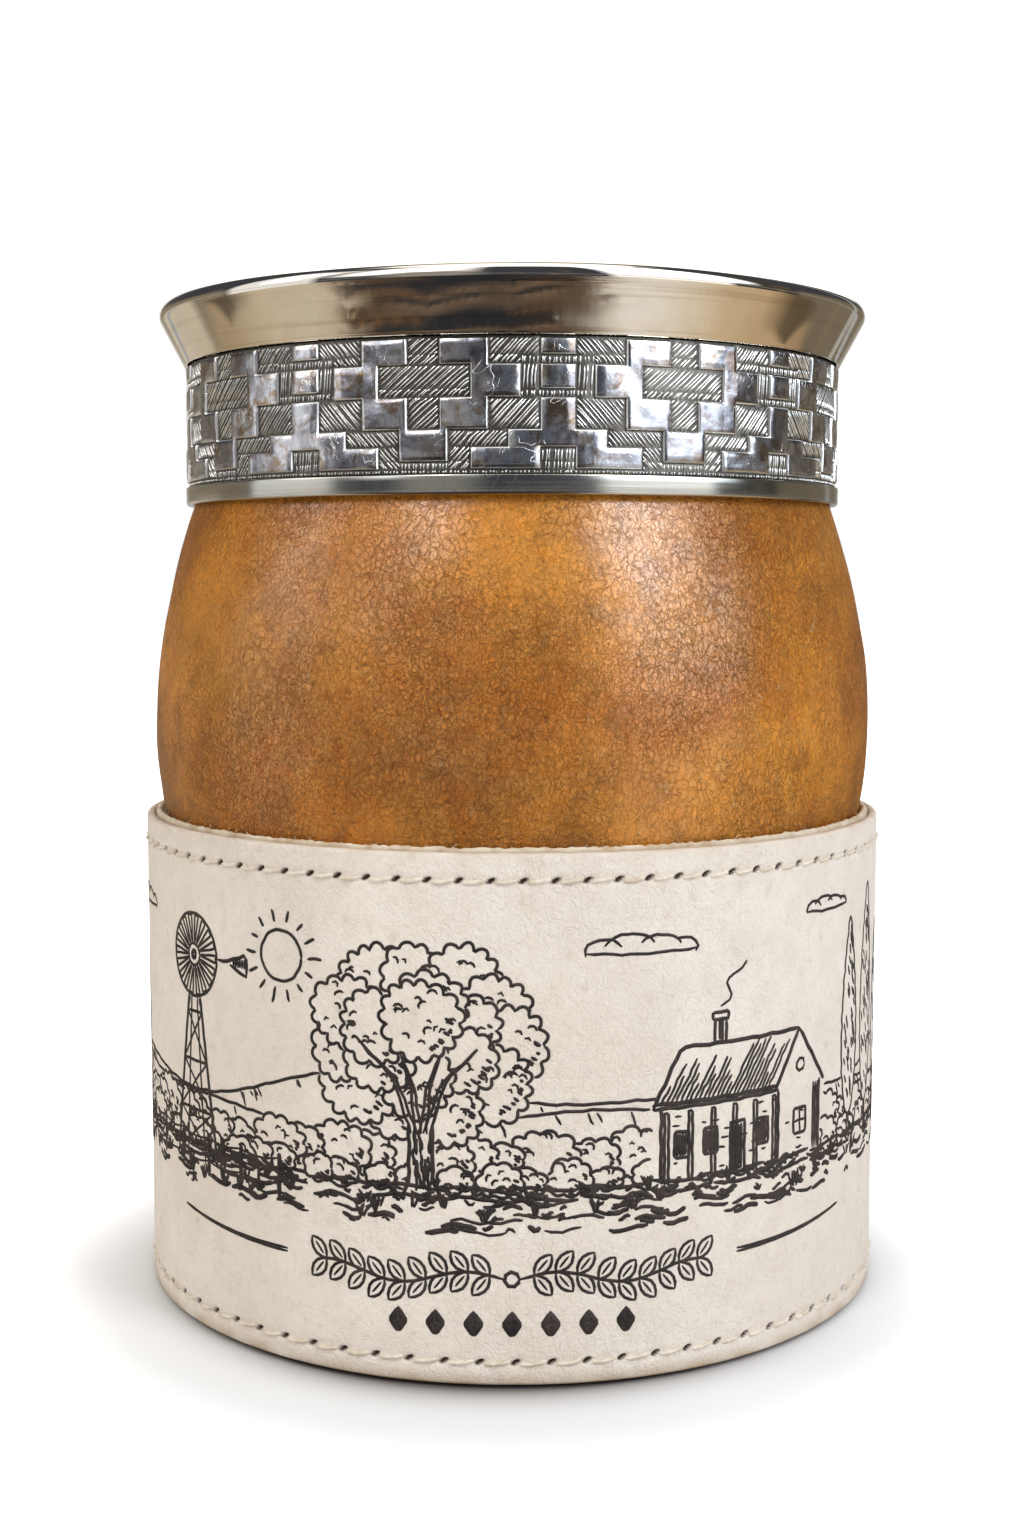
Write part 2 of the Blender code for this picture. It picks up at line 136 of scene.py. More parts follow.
def wrapGrid(rows, columns, closeRows):
    # Point (row, column) joins the next row and the next column. Columns always close on
    # themselves round the axis, and rows do too where the profile is a closed line.
    row = np.arange(rows if closeRows else rows - 1)[:, None]
    column = np.arange(columns)[None, :]
    nextRow = (row + 1) % rows
    nextColumn = (column + 1) % columns
    corners = [
        row * columns + column,
        nextRow * columns + column,
        nextRow * columns + nextColumn,
        row * columns + nextColumn,
    ]
    return np.stack(np.broadcast_arrays(*corners), axis=-1).reshape(-1, 4)


def tubeFaces(count, steps, sides):
    # The sides of many tubes, each a run of rings, and then the caps at both their ends.
    first = (np.arange(count) * steps * sides)[:, None, None]
    start, end = np.arange(sides), (steps - 1) * sides + np.arange(sides)[::-1]
    walls = (wrapGrid(steps, sides, False)[None] + first).reshape(-1, 4)
    return [walls, np.concatenate([start[None] + first[:, 0], end[None] + first[:, 0]])]


def onAxis(radius, angle, height):  # x = r sin a, y = -r cos a, z = h
    radius, angle, height = np.broadcast_arrays(radius, angle, height)
    return np.stack([radius * np.sin(angle), -radius * np.cos(angle), height], axis=-1)


def roundCorner(radius, height, size, start, end, steps):
    # Points on an arc about (radius, height), from one angle in degrees to another.
    turn = np.radians(np.linspace(start, end, steps + 1))
    return np.stack([radius + size * np.cos(turn), height + size * np.sin(turn)], axis=-1)


def spaced(profile, step):
    # The same line with points no further apart than the step, so that it can be worked.
    profile = np.asarray(profile, dtype=float)
    lengths = np.hypot(*np.diff(profile, axis=0).T)
    pieces = [
        profile[i] + (profile[i + 1] - profile[i]) * np.arange(n)[:, None] / n
        for i, n in enumerate(np.maximum(1, np.ceil(lengths / step)).astype(int))
    ]
    return np.concatenate([*pieces, profile[-1:]])


def outwards(profile, closed):
    # Unit normals of a profile that runs down its outer side: the tangent turned a quarter.
    if closed:
        along = np.roll(profile, -1, axis=0) - np.roll(profile, 1, axis=0)
    else:
        along = np.gradient(profile, axis=0)
    along /= np.maximum(np.hypot(along[:, 0], along[:, 1]), 1e-9)[:, None]
    return np.stack([-along[:, 1], along[:, 0]], axis=-1)


def waves(angle, height, rounds, pitch, seed, number=16):
    # A sum of cosines. Each has a whole number of waves round the piece, so that it closes
    # on itself, and its own lean and phase. The result lies mostly between -1 and 1.
    draw = np.random.default_rng(seed)
    total = np.zeros(np.broadcast(angle, height).shape)
    for _ in range(number):
        around = draw.integers(-rounds, rounds + 1)
        climb = draw.normal() * fullTurn / pitch
        total += np.cos(around * angle + climb * height + draw.uniform(0, fullTurn))
    return total / math.sqrt(number)


def turnPiece(name, profile, angles, lift=None, masks=None, closed=True, poles=False):
    # A profile carried round the axis. lift gives how far each point of the grid moves
    # along the profile's normal, from its angle, height and row.
    normals = outwards(profile, closed)
    radius = np.repeat(profile[:, :1], len(angles), axis=1)
    height = np.repeat(profile[:, 1:], len(angles), axis=1)
    if lift is not None:
        moved = lift(angles[None, :], height, radius)
        radius = radius + moved * normals[:, :1]
        height = height + moved * normals[:, 1:]
    points = onAxis(radius, angles[None, :], height)
    faces = wrapGrid(len(profile), len(angles), closed)
    values = {key: mask(angles[None, :], height, radius) for key, mask in (masks or {}).items()}
    return makeMesh(name, points, [faces], values, poles)


def evenAngles(count, extra=()):  # even steps round the piece, with any extra ones put in
    steps = np.arange(count) * fullTurn / count
    return np.unique(np.round(np.concatenate([steps, np.asarray(extra) % fullTurn]), 9))


# Material helpers
def socketOf(tree, value, socket):  # joins an output, or sets a plain value
    if isinstance(value, bpy.types.NodeSocket):
        tree.links.new(value, socket)
    elif value is not None:
        socket.default_value = value


def addNode(tree, kind, **values):
    # A node with its settings and inputs. A key that starts with an underscore is a setting.
    node = tree.nodes.new("ShaderNode" + kind)
    for key, value in values.items():
        if key.startswith("_"):
            setattr(node, key[1:], value)
        else:
            key = int(key[1:]) if key[0] == "i" and key[1:].isdigit() else key.replace("0", " ")
            socketOf(tree, value, node.inputs[key])
    return node


def mathNode(tree, operation, a, b=None, c=None):
    return addNode(tree, "Math", _operation=operation, i0=a, i1=b, i2=c).outputs[0]


def product(tree, first, *others):  # the product of two values or more
    for other in others:
        first = mathNode(tree, "MULTIPLY", first, other)
    return first


def without(tree, mask, weight):  # 1 less a mask times its weight
    return mathNode(tree, "SUBTRACT", 1.0, product(tree, mask, weight))


def rampNode(tree, value, low, high):  # 0 below low, 1 above high, smooth between
    node = addNode(tree, "MapRange", _interpolation_type="SMOOTHSTEP", i0=value, i1=low, i2=high)
    return node.outputs[0]


def mixColors(tree, share, first, second):  # from the first colour to the second
    node = tree.nodes.new("ShaderNodeMix")
    node.data_type = "RGBA"
    for index, value in ((0, share), (6, first), (7, second)):
        socketOf(tree, value, node.inputs[index])
    return node.outputs[2]


def noiseNode(tree, place, scale, detail=3.0, roughness=0.5, distortion=0.0):
    values = {"Vector": place, "Scale": scale, "Detail": detail, "Roughness": roughness}
    return addNode(tree, "TexNoise", Distortion=distortion, **values).outputs["Fac"]


def shade(red, green, blue):  # a colour as a picture program shows it, turned into light values
    parts = (part / 255 for part in (red, green, blue))
    return (*(part / 12.92 if part < 0.04 else ((part + 0.055) / 1.055) ** 2.4 for part in parts), 1.0)


def stained(tree, color, *stains):  # lays each tone over the colour, by its mask times its weight
    for mask, weight, tone in stains:
        share = mask if weight == 1.0 else product(tree, mask, weight)
        color = mixColors(tree, share, color, shade(*tone))
    return color


def setInputs(tree, inputs, values):
    for label, value in values.items():
        socketOf(tree, value, inputs[label])


def newGroup(name, inputs, outputs):
    tree = bpy.data.node_groups.new(name, "ShaderNodeTree")
    for label, kind, value in inputs:
        socket = tree.interface.new_socket(label, in_out="INPUT", socket_type=kind)
        if value is not None:
            socket.default_value = value
    for label, kind in outputs:
        tree.interface.new_socket(label, in_out="OUTPUT", socket_type=kind)
    return tree, tree.nodes.new("NodeGroupInput").outputs, tree.nodes.new("NodeGroupOutput").inputs


def useGroup(tree, group, **values):
    node = tree.nodes.new("ShaderNodeGroup")
    node.node_tree = group
    for key, value in values.items():
        socketOf(tree, value, node.inputs[key])
    return node.outputs


number, vector = "NodeSocketFloat", "NodeSocketVector"


def makeGrainGroup():
    # Leather grain: pebbles between creases, from the distance to the edges of bent cells,
    # and a finer noise on them. The creases are deep in some patches and faint in others.
    tree, given, result = newGroup(
        "leatherGrain",
        [("Vector", vector, None), ("Wrinkles", number, 1100.0), ("Patches", number, 60.0)],
        [("Height", number), ("Creases", number), ("Flecks", number)],
    )
    place, wrinkles = given["Vector"], given["Wrinkles"]
    bend = addNode(tree, "TexNoise", Vector=place, Scale=product(tree, wrinkles, 0.6), Detail=4.0)
    reach = mathNode(tree, "DIVIDE", 2.4, wrinkles)
    bent = addNode(tree, "VectorMath", _operation="SCALE", i0=bend.outputs["Color"], Scale=reach)
    bent = addNode(tree, "VectorMath", _operation="ADD", i0=place, i1=bent.outputs[0])
    drawn = addNode(tree, "VectorMath", _operation="MULTIPLY", i0=bent.outputs[0], i1=(1.25, 1.25, 0.75))
    cells = addNode(tree, "TexVoronoi", _feature="DISTANCE_TO_EDGE", Vector=drawn.outputs[0], Scale=wrinkles)
    broad = rampNode(tree, cells.outputs["Distance"], 0.0, 0.16)
    worm = noiseNode(tree, place, product(tree, wrinkles, 1.4), 2.0, 0.5, 0.6)
    worm = rampNode(tree, mathNode(tree, "ABSOLUTE", mathNode(tree, "SUBTRACT", worm, 0.5)), 0.0, 0.06)
    fine = noiseNode(tree, place, product(tree, wrinkles, 4.2), 2.0, 0.6)
    deep = rampNode(tree, noiseNode(tree, place, given["Patches"], 3.0, 0.6), 0.34, 0.6)
    share = mathNode(tree, "MULTIPLY_ADD", deep, 0.55, 0.45)
    height = product(tree, mathNode(tree, "ADD", broad, product(tree, worm, 0.5)), share)
    speck = noiseNode(tree, place, product(tree, wrinkles, 1.1), 4.0, 0.7)
    setInputs(
        tree,
        result,
        {
            "Height": mathNode(tree, "ADD", height, fine),
            "Creases": product(tree, mathNode(tree, "SUBTRACT", 1.0, broad), share),
            "Flecks": rampNode(tree, speck, 0.5, 0.74),
        },
    )
    return tree


def makeMottleGroup():
    # Cloudy patches of colour at one size, and specks at a ninth of that size.
    tree, given, result = newGroup(
        "mottle",
        [("Vector", vector, None), ("Scale", number, 60.0), ("Low", number, 0.4), ("High", number, 0.6)],
        [("Patches", number), ("Specks", number)],
    )
    large = noiseNode(tree, given["Vector"], given["Scale"], 5.0, 0.6, 0.4)
    small = noiseNode(tree, given["Vector"], product(tree, given["Scale"], 9.0), 4.0, 0.65)
    tree.links.new(rampNode(tree, large, given["Low"], given["High"]), result["Patches"])
    tree.links.new(rampNode(tree, small, given["Low"], given["High"]), result["Specks"])
    return tree


def makeTurningGroup():
    # Marks of a lathe or a polishing wheel: noise drawn out along the turn, since it changes
    # fast with height and slowly across. Smudges are soft patches, and hairlines are short
    # pieces of the curves where a bent noise crosses its middle value.
    tree, given, result = newGroup(
        "turningMarks",
        [
            ("Vector", vector, None),
            ("Across", number, 40.0),
            ("Up", number, 2500.0),
            ("Hairs", number, 200.0),
        ],
        [("Height", number), ("Smudges", number), ("Hairlines", number)],
    )
    scale = addNode(tree, "CombineXYZ", X=given["Across"], Y=given["Across"], Z=given["Up"])
    drawn = addNode(tree, "VectorMath", _operation="MULTIPLY", i0=given["Vector"], i1=scale.outputs[0])
    tree.links.new(noiseNode(tree, drawn.outputs[0], 1.0, 3.0, 0.6), result["Height"])
    smudge = noiseNode(tree, given["Vector"], product(tree, given["Hairs"], 1.3), 4.0, 0.6, 1.2)
    tree.links.new(rampNode(tree, smudge, 0.42, 0.7), result["Smudges"])
    curve = noiseNode(tree, given["Vector"], given["Hairs"], 1.0, 0.5, 2.2)
    away = mathNode(tree, "ABSOLUTE", mathNode(tree, "SUBTRACT", curve, 0.5))
    here = noiseNode(tree, given["Vector"], product(tree, given["Hairs"], 0.9), 2.0, 0.5)
    thin = product(tree, rampNode(tree, away, 0.011, 0.0), rampNode(tree, here, 0.52, 0.6))
    tree.links.new(thin, result["Hairlines"])
    return tree


def makeFibreGroup():
    # Fibres and pores of raw leather, board or cork: stretched noise and small dark pits.
    tree, given, result = newGroup(
        "fibres",
        [("Vector", vector, None), ("Scale", number, 1500.0), ("Pits", number, 420.0)],
        [("Height", number), ("Shade", number), ("Pores", number)],
    )
    fine = noiseNode(tree, given["Vector"], given["Scale"], 5.0, 0.7, 0.3)
    broad = noiseNode(tree, given["Vector"], product(tree, given["Scale"], 0.14), 4.0, 0.6)
    tree.links.new(mathNode(tree, "ADD", fine, product(tree, broad, 0.5)), result["Height"])
    tree.links.new(rampNode(tree, broad, 0.35, 0.7), result["Shade"])
    pits = addNode(tree, "TexVoronoi", Vector=given["Vector"], Scale=given["Pits"])
    tree.links.new(rampNode(tree, pits.outputs["Distance"], 0.16, 0.05), result["Pores"])
    return tree


grainGroup = makeGrainGroup()
mottleGroup = makeMottleGroup()
turningGroup = makeTurningGroup()
fibreGroup = makeFibreGroup()


def newMaterial(name):
    material = bpy.data.materials.new(name)
    material.use_nodes = True
    tree = material.node_tree
    shader = tree.nodes["Principled BSDF"]
    place = tree.nodes.new("ShaderNodeTexCoord").outputs["Object"]
    return material, tree, shader.inputs, place


def bumpInto(tree, inputs, height, distance):  # distance in millimetres
    bump = addNode(tree, "Bump", Strength=1.0, Distance=distance / 1000, Height=height)
    tree.links.new(bump.outputs[0], inputs["Normal"])


def maskOf(tree, name):
    return addNode(tree, "Attribute", _attribute_name=name).outputs["Fac"]


def tanLeather():
    # Pull-up leather: orange-brown, with gold where it is stretched and blotches that darken
    # towards the cuff. Each kind of mark lays its own brown over the base, and painted shade
    # darkens the creases and the outline.
    material, tree, inputs, place = newMaterial("tanLeather")
    blotches = useGroup(tree, mottleGroup, Vector=place, Scale=26.0, Low=0.44, High=0.68)
    clouds = useGroup(tree, mottleGroup, Vector=place, Scale=62.0, Low=0.36, High=0.64)
    freckles = useGroup(tree, mottleGroup, Vector=place, Scale=230.0, Low=0.47, High=0.66)
    grain = useGroup(tree, grainGroup, Vector=place, Wrinkles=2100.0)
    folds = useGroup(tree, grainGroup, Vector=place, Wrinkles=960.0, Patches=85.0)
    scratches = useGroup(tree, turningGroup, Vector=place, Across=60.0, Up=60.0, Hairs=420.0)
    height = addNode(tree, "SeparateXYZ", Vector=place).outputs["Z"]
    low = addNode(tree, "MapRange", i0=height, i1=0.076, i2=0.054, i3=0.4, i4=0.75).outputs[0]
    turned = addNode(tree, "LayerWeight", Blend=0.25).outputs["Facing"]
    color = stained(
        tree,
        shade(248, 160, 44),
        (clouds["Patches"], 1.0, (216, 126, 22)),
        (blotches["Patches"], low, (136, 86, 26)),
        (clouds["Specks"], 0.4, (214, 150, 62)),
        (freckles["Patches"], 0.32, (118, 72, 26)),
        (grain["Flecks"], 0.6, (92, 54, 22)),
        # Painted shade in the creases of the folds and of the grain.
        (folds["Creases"], 0.31, (84, 48, 18)),
        (grain["Creases"], 0.41, (84, 46, 20)),
        (scratches["Hairlines"], 0.4, (240, 204, 150)),
        # Painted shade: the leather darkens towards its outline, where the surface turns away.
        (rampNode(tree, turned, 0.2, 0.7), 0.28, (112, 62, 20)),
    )
    # The sheen lies on the crests only: it is gone in the creases and weak at the outline.
    dull = ((grain["Creases"], 0.8), (folds["Creases"], 0.7), (grain["Flecks"], 0.5))
    crests = product(tree, *(without(tree, mask, weight) for mask, weight in dull))
    sheen = product(tree, rampNode(tree, turned, 0.6, 0.05), crests, 0.95)
    values = {
        "Base Color": color,
        "Roughness": mathNode(tree, "MULTIPLY_ADD", clouds["Specks"], 0.12, 0.3),
        "Specular IOR Level": 0.1,
        "Coat Weight": sheen,
        "Coat Roughness": 0.27,
        "Coat IOR": 1.62,
    }
    setInputs(tree, inputs, values)
    bumpInto(tree, inputs, mathNode(tree, "ADD", grain["Height"], product(tree, folds["Height"], 1.5)), 0.09)
    return material


def rawhide():
    # Undyed cream leather: matt, with a short papery nap, faint clouds and sparse fibres.
    material, tree, inputs, place = newMaterial("rawhide")
    nap = useGroup(tree, fibreGroup, Vector=place, Scale=1900.0, Pits=210.0)
    grain = useGroup(tree, grainGroup, Vector=place, Wrinkles=900.0)
    clouds = useGroup(tree, mottleGroup, Vector=place, Scale=45.0, Low=0.3, High=0.75)
    color = stained(
        tree,
        shade(242, 232, 220),
        (clouds["Patches"], 1.0, (233, 221, 207)),
        (nap["Shade"], 0.45, (226, 212, 196)),
        (grain["Flecks"], 0.45, (215, 199, 181)),
        (nap["Pores"], 0.14, (150, 122, 92)),
        (maskOf(tree, "foot"), 1.0, (196, 172, 142)),
        # Painted shade in the awl holes and along the back seam groove.
        (maskOf(tree, "hole"), 1.0, (62, 40, 24)),
    )
    setInputs(tree, inputs, {"Base Color": color, "Roughness": 0.8, "Specular IOR Level": 0.3})
    bumpInto(tree, inputs, mathNode(tree, "ADD", nap["Height"], product(tree, grain["Height"], 0.3)), 0.16)
    return material


def fibrous(name, first, second, scale, pits, relief, values):
    # Two tones by the shade of the fibres, and a relief from the same fibres.
    material, tree, inputs, place = newMaterial(name)
    nap = useGroup(tree, fibreGroup, Vector=place, Scale=scale, Pits=pits)
    color = stained(tree, shade(*first), (nap["Shade"], 1.0, second))
    setInputs(tree, inputs, {"Base Color": color, **values})
    bumpInto(tree, inputs, nap["Height"], relief)
    return material


def nickelSilver(name, color, roughness, marks):
    # Polished nickel silver: a warm white metal with turning marks, smudges and hairlines.
    material, tree, inputs, place = newMaterial(name)
    marked = useGroup(tree, turningGroup, Vector=place, Across=26.0, Up=1700.0, Hairs=110.0)
    tone = stained(
        tree,
        shade(*color),
        (marked["Smudges"], 0.25, (192, 182, 164)),
        (rampNode(tree, marked["Height"], 0.5, 0.72), 0.4, (168, 150, 124)),
    )
    rough = mathNode(tree, "MULTIPLY_ADD", marked["Smudges"], 0.05, roughness)
    setInputs(tree, inputs, {"Base Color": tone, "Metallic": 1.0, "Roughness": rough})
    scored = product(tree, marked["Hairlines"], 0.35)
    bumpInto(tree, inputs, mathNode(tree, "SUBTRACT", marked["Height"], scored), marks)
    return material


def chasedSilver():
    # Chased plates: brown and blue smears on the polished faces, bright worn edges, and a
    # grey ground between them.
    material, tree, inputs, place = newMaterial("chasedSilver")
    marked = useGroup(tree, turningGroup, Vector=place, Across=420.0, Up=420.0, Hairs=330.0)
    tints = useGroup(tree, mottleGroup, Vector=place, Scale=170.0, Low=0.42, High=0.6)
    plate = maskOf(tree, "plate")
    tone = stained(
        tree,
        shade(206, 208, 212),
        (marked["Smudges"], 1.0, (150, 126, 100)),
        (tints["Patches"], 0.6, (112, 110, 118)),
        (marked["Hairlines"], 1.0, (232, 230, 224)),
    )
    tone = mixColors(tree, plate, shade(96, 92, 86), tone)
    tone = stained(tree, tone, (maskOf(tree, "rim"), 1.0, (244, 242, 236)))
    rough = mathNode(tree, "MULTIPLY_ADD", plate, -0.24, 0.46)
    setInputs(tree, inputs, {"Base Color": tone, "Metallic": 1.0, "Roughness": rough})
    scored = product(tree, marked["Hairlines"], 0.25)
    bumpInto(tree, inputs, mathNode(tree, "SUBTRACT", marked["Height"], scored), 0.07)
    return material


def hatchMetal():
    # The crests of the hatching, rubbed bright, over a dark oxidised foot.
    material, tree, inputs, place = newMaterial("hatchMetal")
    marked = useGroup(tree, turningGroup, Vector=place, Across=1400.0, Up=1400.0, Hairs=700.0)
    bright = stained(tree, shade(240, 238, 232), (marked["Smudges"], 1.0, (176, 172, 166)))
    tone = mixColors(tree, maskOf(tree, "crest"), shade(70, 66, 62), bright)
    setInputs(tree, inputs, {"Base Color": tone, "Metallic": 1.0, "Roughness": 0.34})
    bumpInto(tree, inputs, marked["Height"], 0.02)
    return material


def plainMaterial(name, first, second, roughness, scale, relief, metallic=0.0):
    # For what is mostly hidden: two tones, fibres and pits at one size.
    material, tree, inputs, place = newMaterial(name)
    nap = useGroup(tree, fibreGroup, Vector=place, Scale=scale, Pits=scale / 3)
    dark = [part // 2 for part in second]
    color = stained(tree, shade(*first), (nap["Shade"], 1.0, second), (nap["Pores"], 0.5, dark))
    setInputs(tree, inputs, {"Base Color": color, "Roughness": roughness, "Metallic": metallic})
    bumpInto(tree, inputs, nap["Height"], relief)
    return material


def driedGourd():
    # The gourd's dry wall: straw brown with darker clouds, scored pith and small pits.
    material, tree, inputs, place = newMaterial("driedGourd")
    nap = useGroup(tree, fibreGroup, Vector=place, Scale=620.0, Pits=260.0)
    pith = useGroup(tree, grainGroup, Vector=place, Wrinkles=340.0, Patches=45.0)
    clouds = useGroup(tree, mottleGroup, Vector=place, Scale=48.0, Low=0.36, High=0.66)
    color = stained(
        tree,
        shade(172, 132, 86),
        (clouds["Patches"], 1.0, (120, 84, 50)),
        (nap["Shade"], 0.5, (98, 66, 38)),
        (pith["Creases"], 0.6, (70, 46, 26)),
        (nap["Pores"], 0.6, (50, 32, 18)),
    )
    setInputs(tree, inputs, {"Base Color": color, "Roughness": 0.75, "Specular IOR Level": 0.3})
    bumpInto(tree, inputs, mathNode(tree, "ADD", pith["Height"], nap["Height"]), 0.45)
    return material


edgeValues = {"Roughness": 0.9, "Specular IOR Level": 0.2}
threadValues = {"Roughness": 0.6}
inkValues = {"Roughness": 0.7, "Specular IOR Level": 0.3}
finishes = {
    "tan": tanLeather(),
    "rawhide": rawhide(),
    "edge": fibrous("rawEdge", (226, 212, 190), (196, 172, 140), 2400.0, 700.0, 0.08, edgeValues),
    "thread": fibrous("creamThread", (228, 217, 200), (204, 187, 164), 5200.0, 2600.0, 0.02, threadValues),
    "silver": nickelSilver("nickelSilver", (222, 214, 200), 0.03, 0.0006),
    "trim": nickelSilver("trimSilver", (184, 184, 176), 0.13, 0.012),
    "funnel": nickelSilver("funnelSilver", (206, 200, 190), 0.2, 0.016),
    "chased": chasedSilver(),
    "hatch": hatchMetal(),
    "ink": fibrous("ink", (38, 31, 27), (62, 52, 45), 2600.0, 900.0, 0.02, inkValues),
    "sole": plainMaterial("soleLeather", (66, 52, 42), (44, 34, 27), 0.8, 900.0, 0.08),
    "gourd": driedGourd(),
    "board": plainMaterial("board", (158, 134, 104), (122, 98, 72), 0.85, 800.0, 0.06),
    "cork": plainMaterial("cork", (176, 132, 88), (126, 88, 54), 0.9, 600.0, 0.15),
    "cement": plainMaterial("cement", (92, 82, 70), (62, 54, 46), 0.9, 900.0, 0.05),
    "wire": plainMaterial("steelWire", (170, 170, 172), (132, 132, 134), 0.35, 2400.0, 0.01, 1.0),
}
print("materials: made", len(finishes))

# The cuff: one wall with a rounded lip, pulled in along its two rows of sewing
cuffShape = {
    "wall": 0.85,
    "edgeRound": 0.38,
    "columns": 1180,
    "unevenness": 0.07,
    "furrow": 0.1,
    "furrowWidth": 0.55,
    "holeDepth": 0.5,
    "holeLength": 0.5,
    "holeWidth": 0.23,
    "holeLean": -0.5,
    "topStitches": 84,
    "bottomStitches": 74,
    "topPhase": 0.35,
    "bottomPhase": 0.1,
}
sewnRows = [
    (sizes["topRow"], cuffShape["topStitches"], cuffShape["topPhase"]),
    (sizes["bottomRow"], cuffShape["bottomStitches"], cuffShape["bottomPhase"]),
]


def cuffRadius(angle, height):
    # The cuff's outer radius: the CAD radius, less soft waves and a furrow along each row.
    radius = sizes["cuffRadius"] - cuffShape["unevenness"] * (0.6 + 0.4 * waves(angle, height, 9, 40.0, 5))
    for level, _, _ in sewnRows:
        away = (height - level) / cuffShape["furrowWidth"]
        radius = radius - cuffShape["furrow"] * np.exp(-away**2)
    return radius


def holeDepthAt(angle, height):
    # How deep each awl hole is here, from 0 to 1: a slanted oval with soft sides.
    depth = np.zeros(np.broadcast(angle, height).shape)
    for level, count, phase in sewnRows:
        step = fullTurn / count
        nearest = (np.round(angle / step - phase) + phase) * step
        across = (angle - nearest) * sizes["cuffRadius"]
        up = height - level
        lean = cuffShape["holeLean"]
        along = across * math.cos(lean) - up * math.sin(lean)
        aside = across * math.sin(lean) + up * math.cos(lean)
        oval = (along / cuffShape["holeLength"]) ** 2 + (aside / cuffShape["holeWidth"]) ** 2
        depth = np.maximum(depth, np.exp(-(oval**1.5)))
    return depth


def makeCuff():
    outer, inner = sizes["cuffRadius"], sizes["cuffRadius"] - cuffShape["wall"]
    top, foot, corner = sizes["cuffTop"], sizes["cuffFoot"], cuffShape["edgeRound"]
    levels = [np.linspace(level - 0.9, level + 0.9, 15) for level, _, _ in sewnRows]
    levels = np.concatenate([*levels, np.linspace(foot + corner, top - corner, 22)])
    levels = levels[(levels > foot + corner + 0.05) & (levels < top - corner - 0.05)]
    levels = np.unique(np.round(levels, 3))[::-1]
    side = np.stack([np.full(len(levels), outer), levels], axis=-1)
    profile = np.concatenate(
        [
            roundCorner(outer - corner, top - corner, corner, 90, 0, 5),
            side,
            roundCorner(outer - corner, foot + corner, corner, 0, -90, 5),
            [(inner, foot), (inner, top - 3.0), (inner, top)],
        ]
    )
    back = math.pi + np.linspace(-1.0, 1.0, 11) / outer

    def lift(angle, height, radius):
        outerSide = np.clip((radius - inner) / (outer - inner), 0, 1) ** 2
        shape = cuffRadius(angle, height) - outer
        shape = shape - cuffShape["holeDepth"] * holeDepthAt(angle, height)
        seam = np.exp(-(((angle - math.pi) * outer / 0.22) ** 2))
        return outerSide * (shape - 0.5 * seam)

    # Painted shade: this mask darkens the awl holes and the seam groove at the back in the leather's colour.
    def holeShade(angle, height, radius):
        outerSide = (radius > inner + 0.1) & (height < top - corner)
        seam = np.exp(-(((angle - math.pi) * outer / 0.2) ** 2))
        return outerSide * np.clip(2.4 * holeDepthAt(angle, height) - 0.25 + 0.7 * seam, 0, 1)

    def footShade(angle, height, radius):  # a darker brown along the foot and, fainter, along the lip
        low = np.exp(-(((height - foot) / 0.7) ** 2)) + 0.4 * np.exp(-(((height - top) / 0.35) ** 2))
        return np.clip(low * (0.8 + 0.3 * waves(angle, height, 60, 6.0, 9)), 0, 1)

    angles = evenAngles(cuffShape["columns"], back)
    obj = turnPiece("cuffLeather", profile, angles, lift, {"hole": holeShade, "foot": footShade})
    return dress(obj, finishes["rawhide"], "rawhide", "cuff_outer")


liningShape = {"wall": 0.6, "ragged": 0.08}


def makeLining():
    outer, inner = sizes["liningRadius"], sizes["liningRadius"] - liningShape["wall"]
    top, foot = sizes["liningTop"], sizes["liningFoot"]
    profile = np.concatenate(
        [
            spaced([(outer, top - 0.12), (outer, top - 2.0)], 0.5),
            [(outer, foot), (inner, foot), (inner, top - 2.0), (inner, top - 0.15)],
            roundCorner((inner + outer) / 2, top - 0.15, 0.25, 150, 30, 3),
        ]
    )

    def lift(angle, height, radius):
        rough = waves(angle, height, 300, 3.0, 11, 30)
        return np.where(height > top - 0.6, liningShape["ragged"] * rough, 0.0)

    obj = turnPiece("cuffLiningEdge", profile, evenAngles(900), lift)
    return dress(obj, finishes["edge"], "raw_edge", "cuff_lining")


def sweptThread(name, paths, radius, plyTwist, sides=8, taper=0.35):
    # Thread of two plies carried along each path: the section is a circle swollen at two
    # lobes, r = radius (1 + 0.2 cos 2(a - twist s)), which turn with the distance s.
    paths = np.asarray(paths, dtype=float)
    count, steps = paths.shape[:2]
    along = np.gradient(paths, axis=1)
    along /= np.linalg.norm(along, axis=2, keepdims=True)
    outward = paths * np.array([1.0, 1.0, 0.0])
    outward /= np.linalg.norm(outward, axis=2, keepdims=True)
    aside = np.cross(along, outward)
    aside /= np.linalg.norm(aside, axis=2, keepdims=True)
    outward = np.cross(aside, along)
    travelled = np.cumsum(np.linalg.norm(np.diff(paths, axis=1, prepend=paths[:, :1]), axis=2), axis=1)
    turn = np.arange(sides) * fullTurn / sides
    lobes = 1 + 0.2 * np.cos(2 * (turn[None, None, :] - fullTurn * travelled[..., None] / plyTwist))
    share = np.linspace(0, 1, steps)
    ends = taper + (1 - taper) * np.clip(np.sin(math.pi * share) * 3.0, 0, 1)
    size = radius * lobes * ends[None, :, None]
    rings = paths[:, :, None, :] + size[..., None] * (
        np.cos(turn)[None, None, :, None] * outward[:, :, None, :]
        + np.sin(turn)[None, None, :, None] * aside[:, :, None, :]
    )
    return makeMesh(name, rings.reshape(-1, 3), tubeFaces(count, steps, sides))


stitchShape = {"radius": 0.21, "rise": 0.09, "sag": 0.12, "sink": 0.6, "twist": 1.5, "steps": 15}


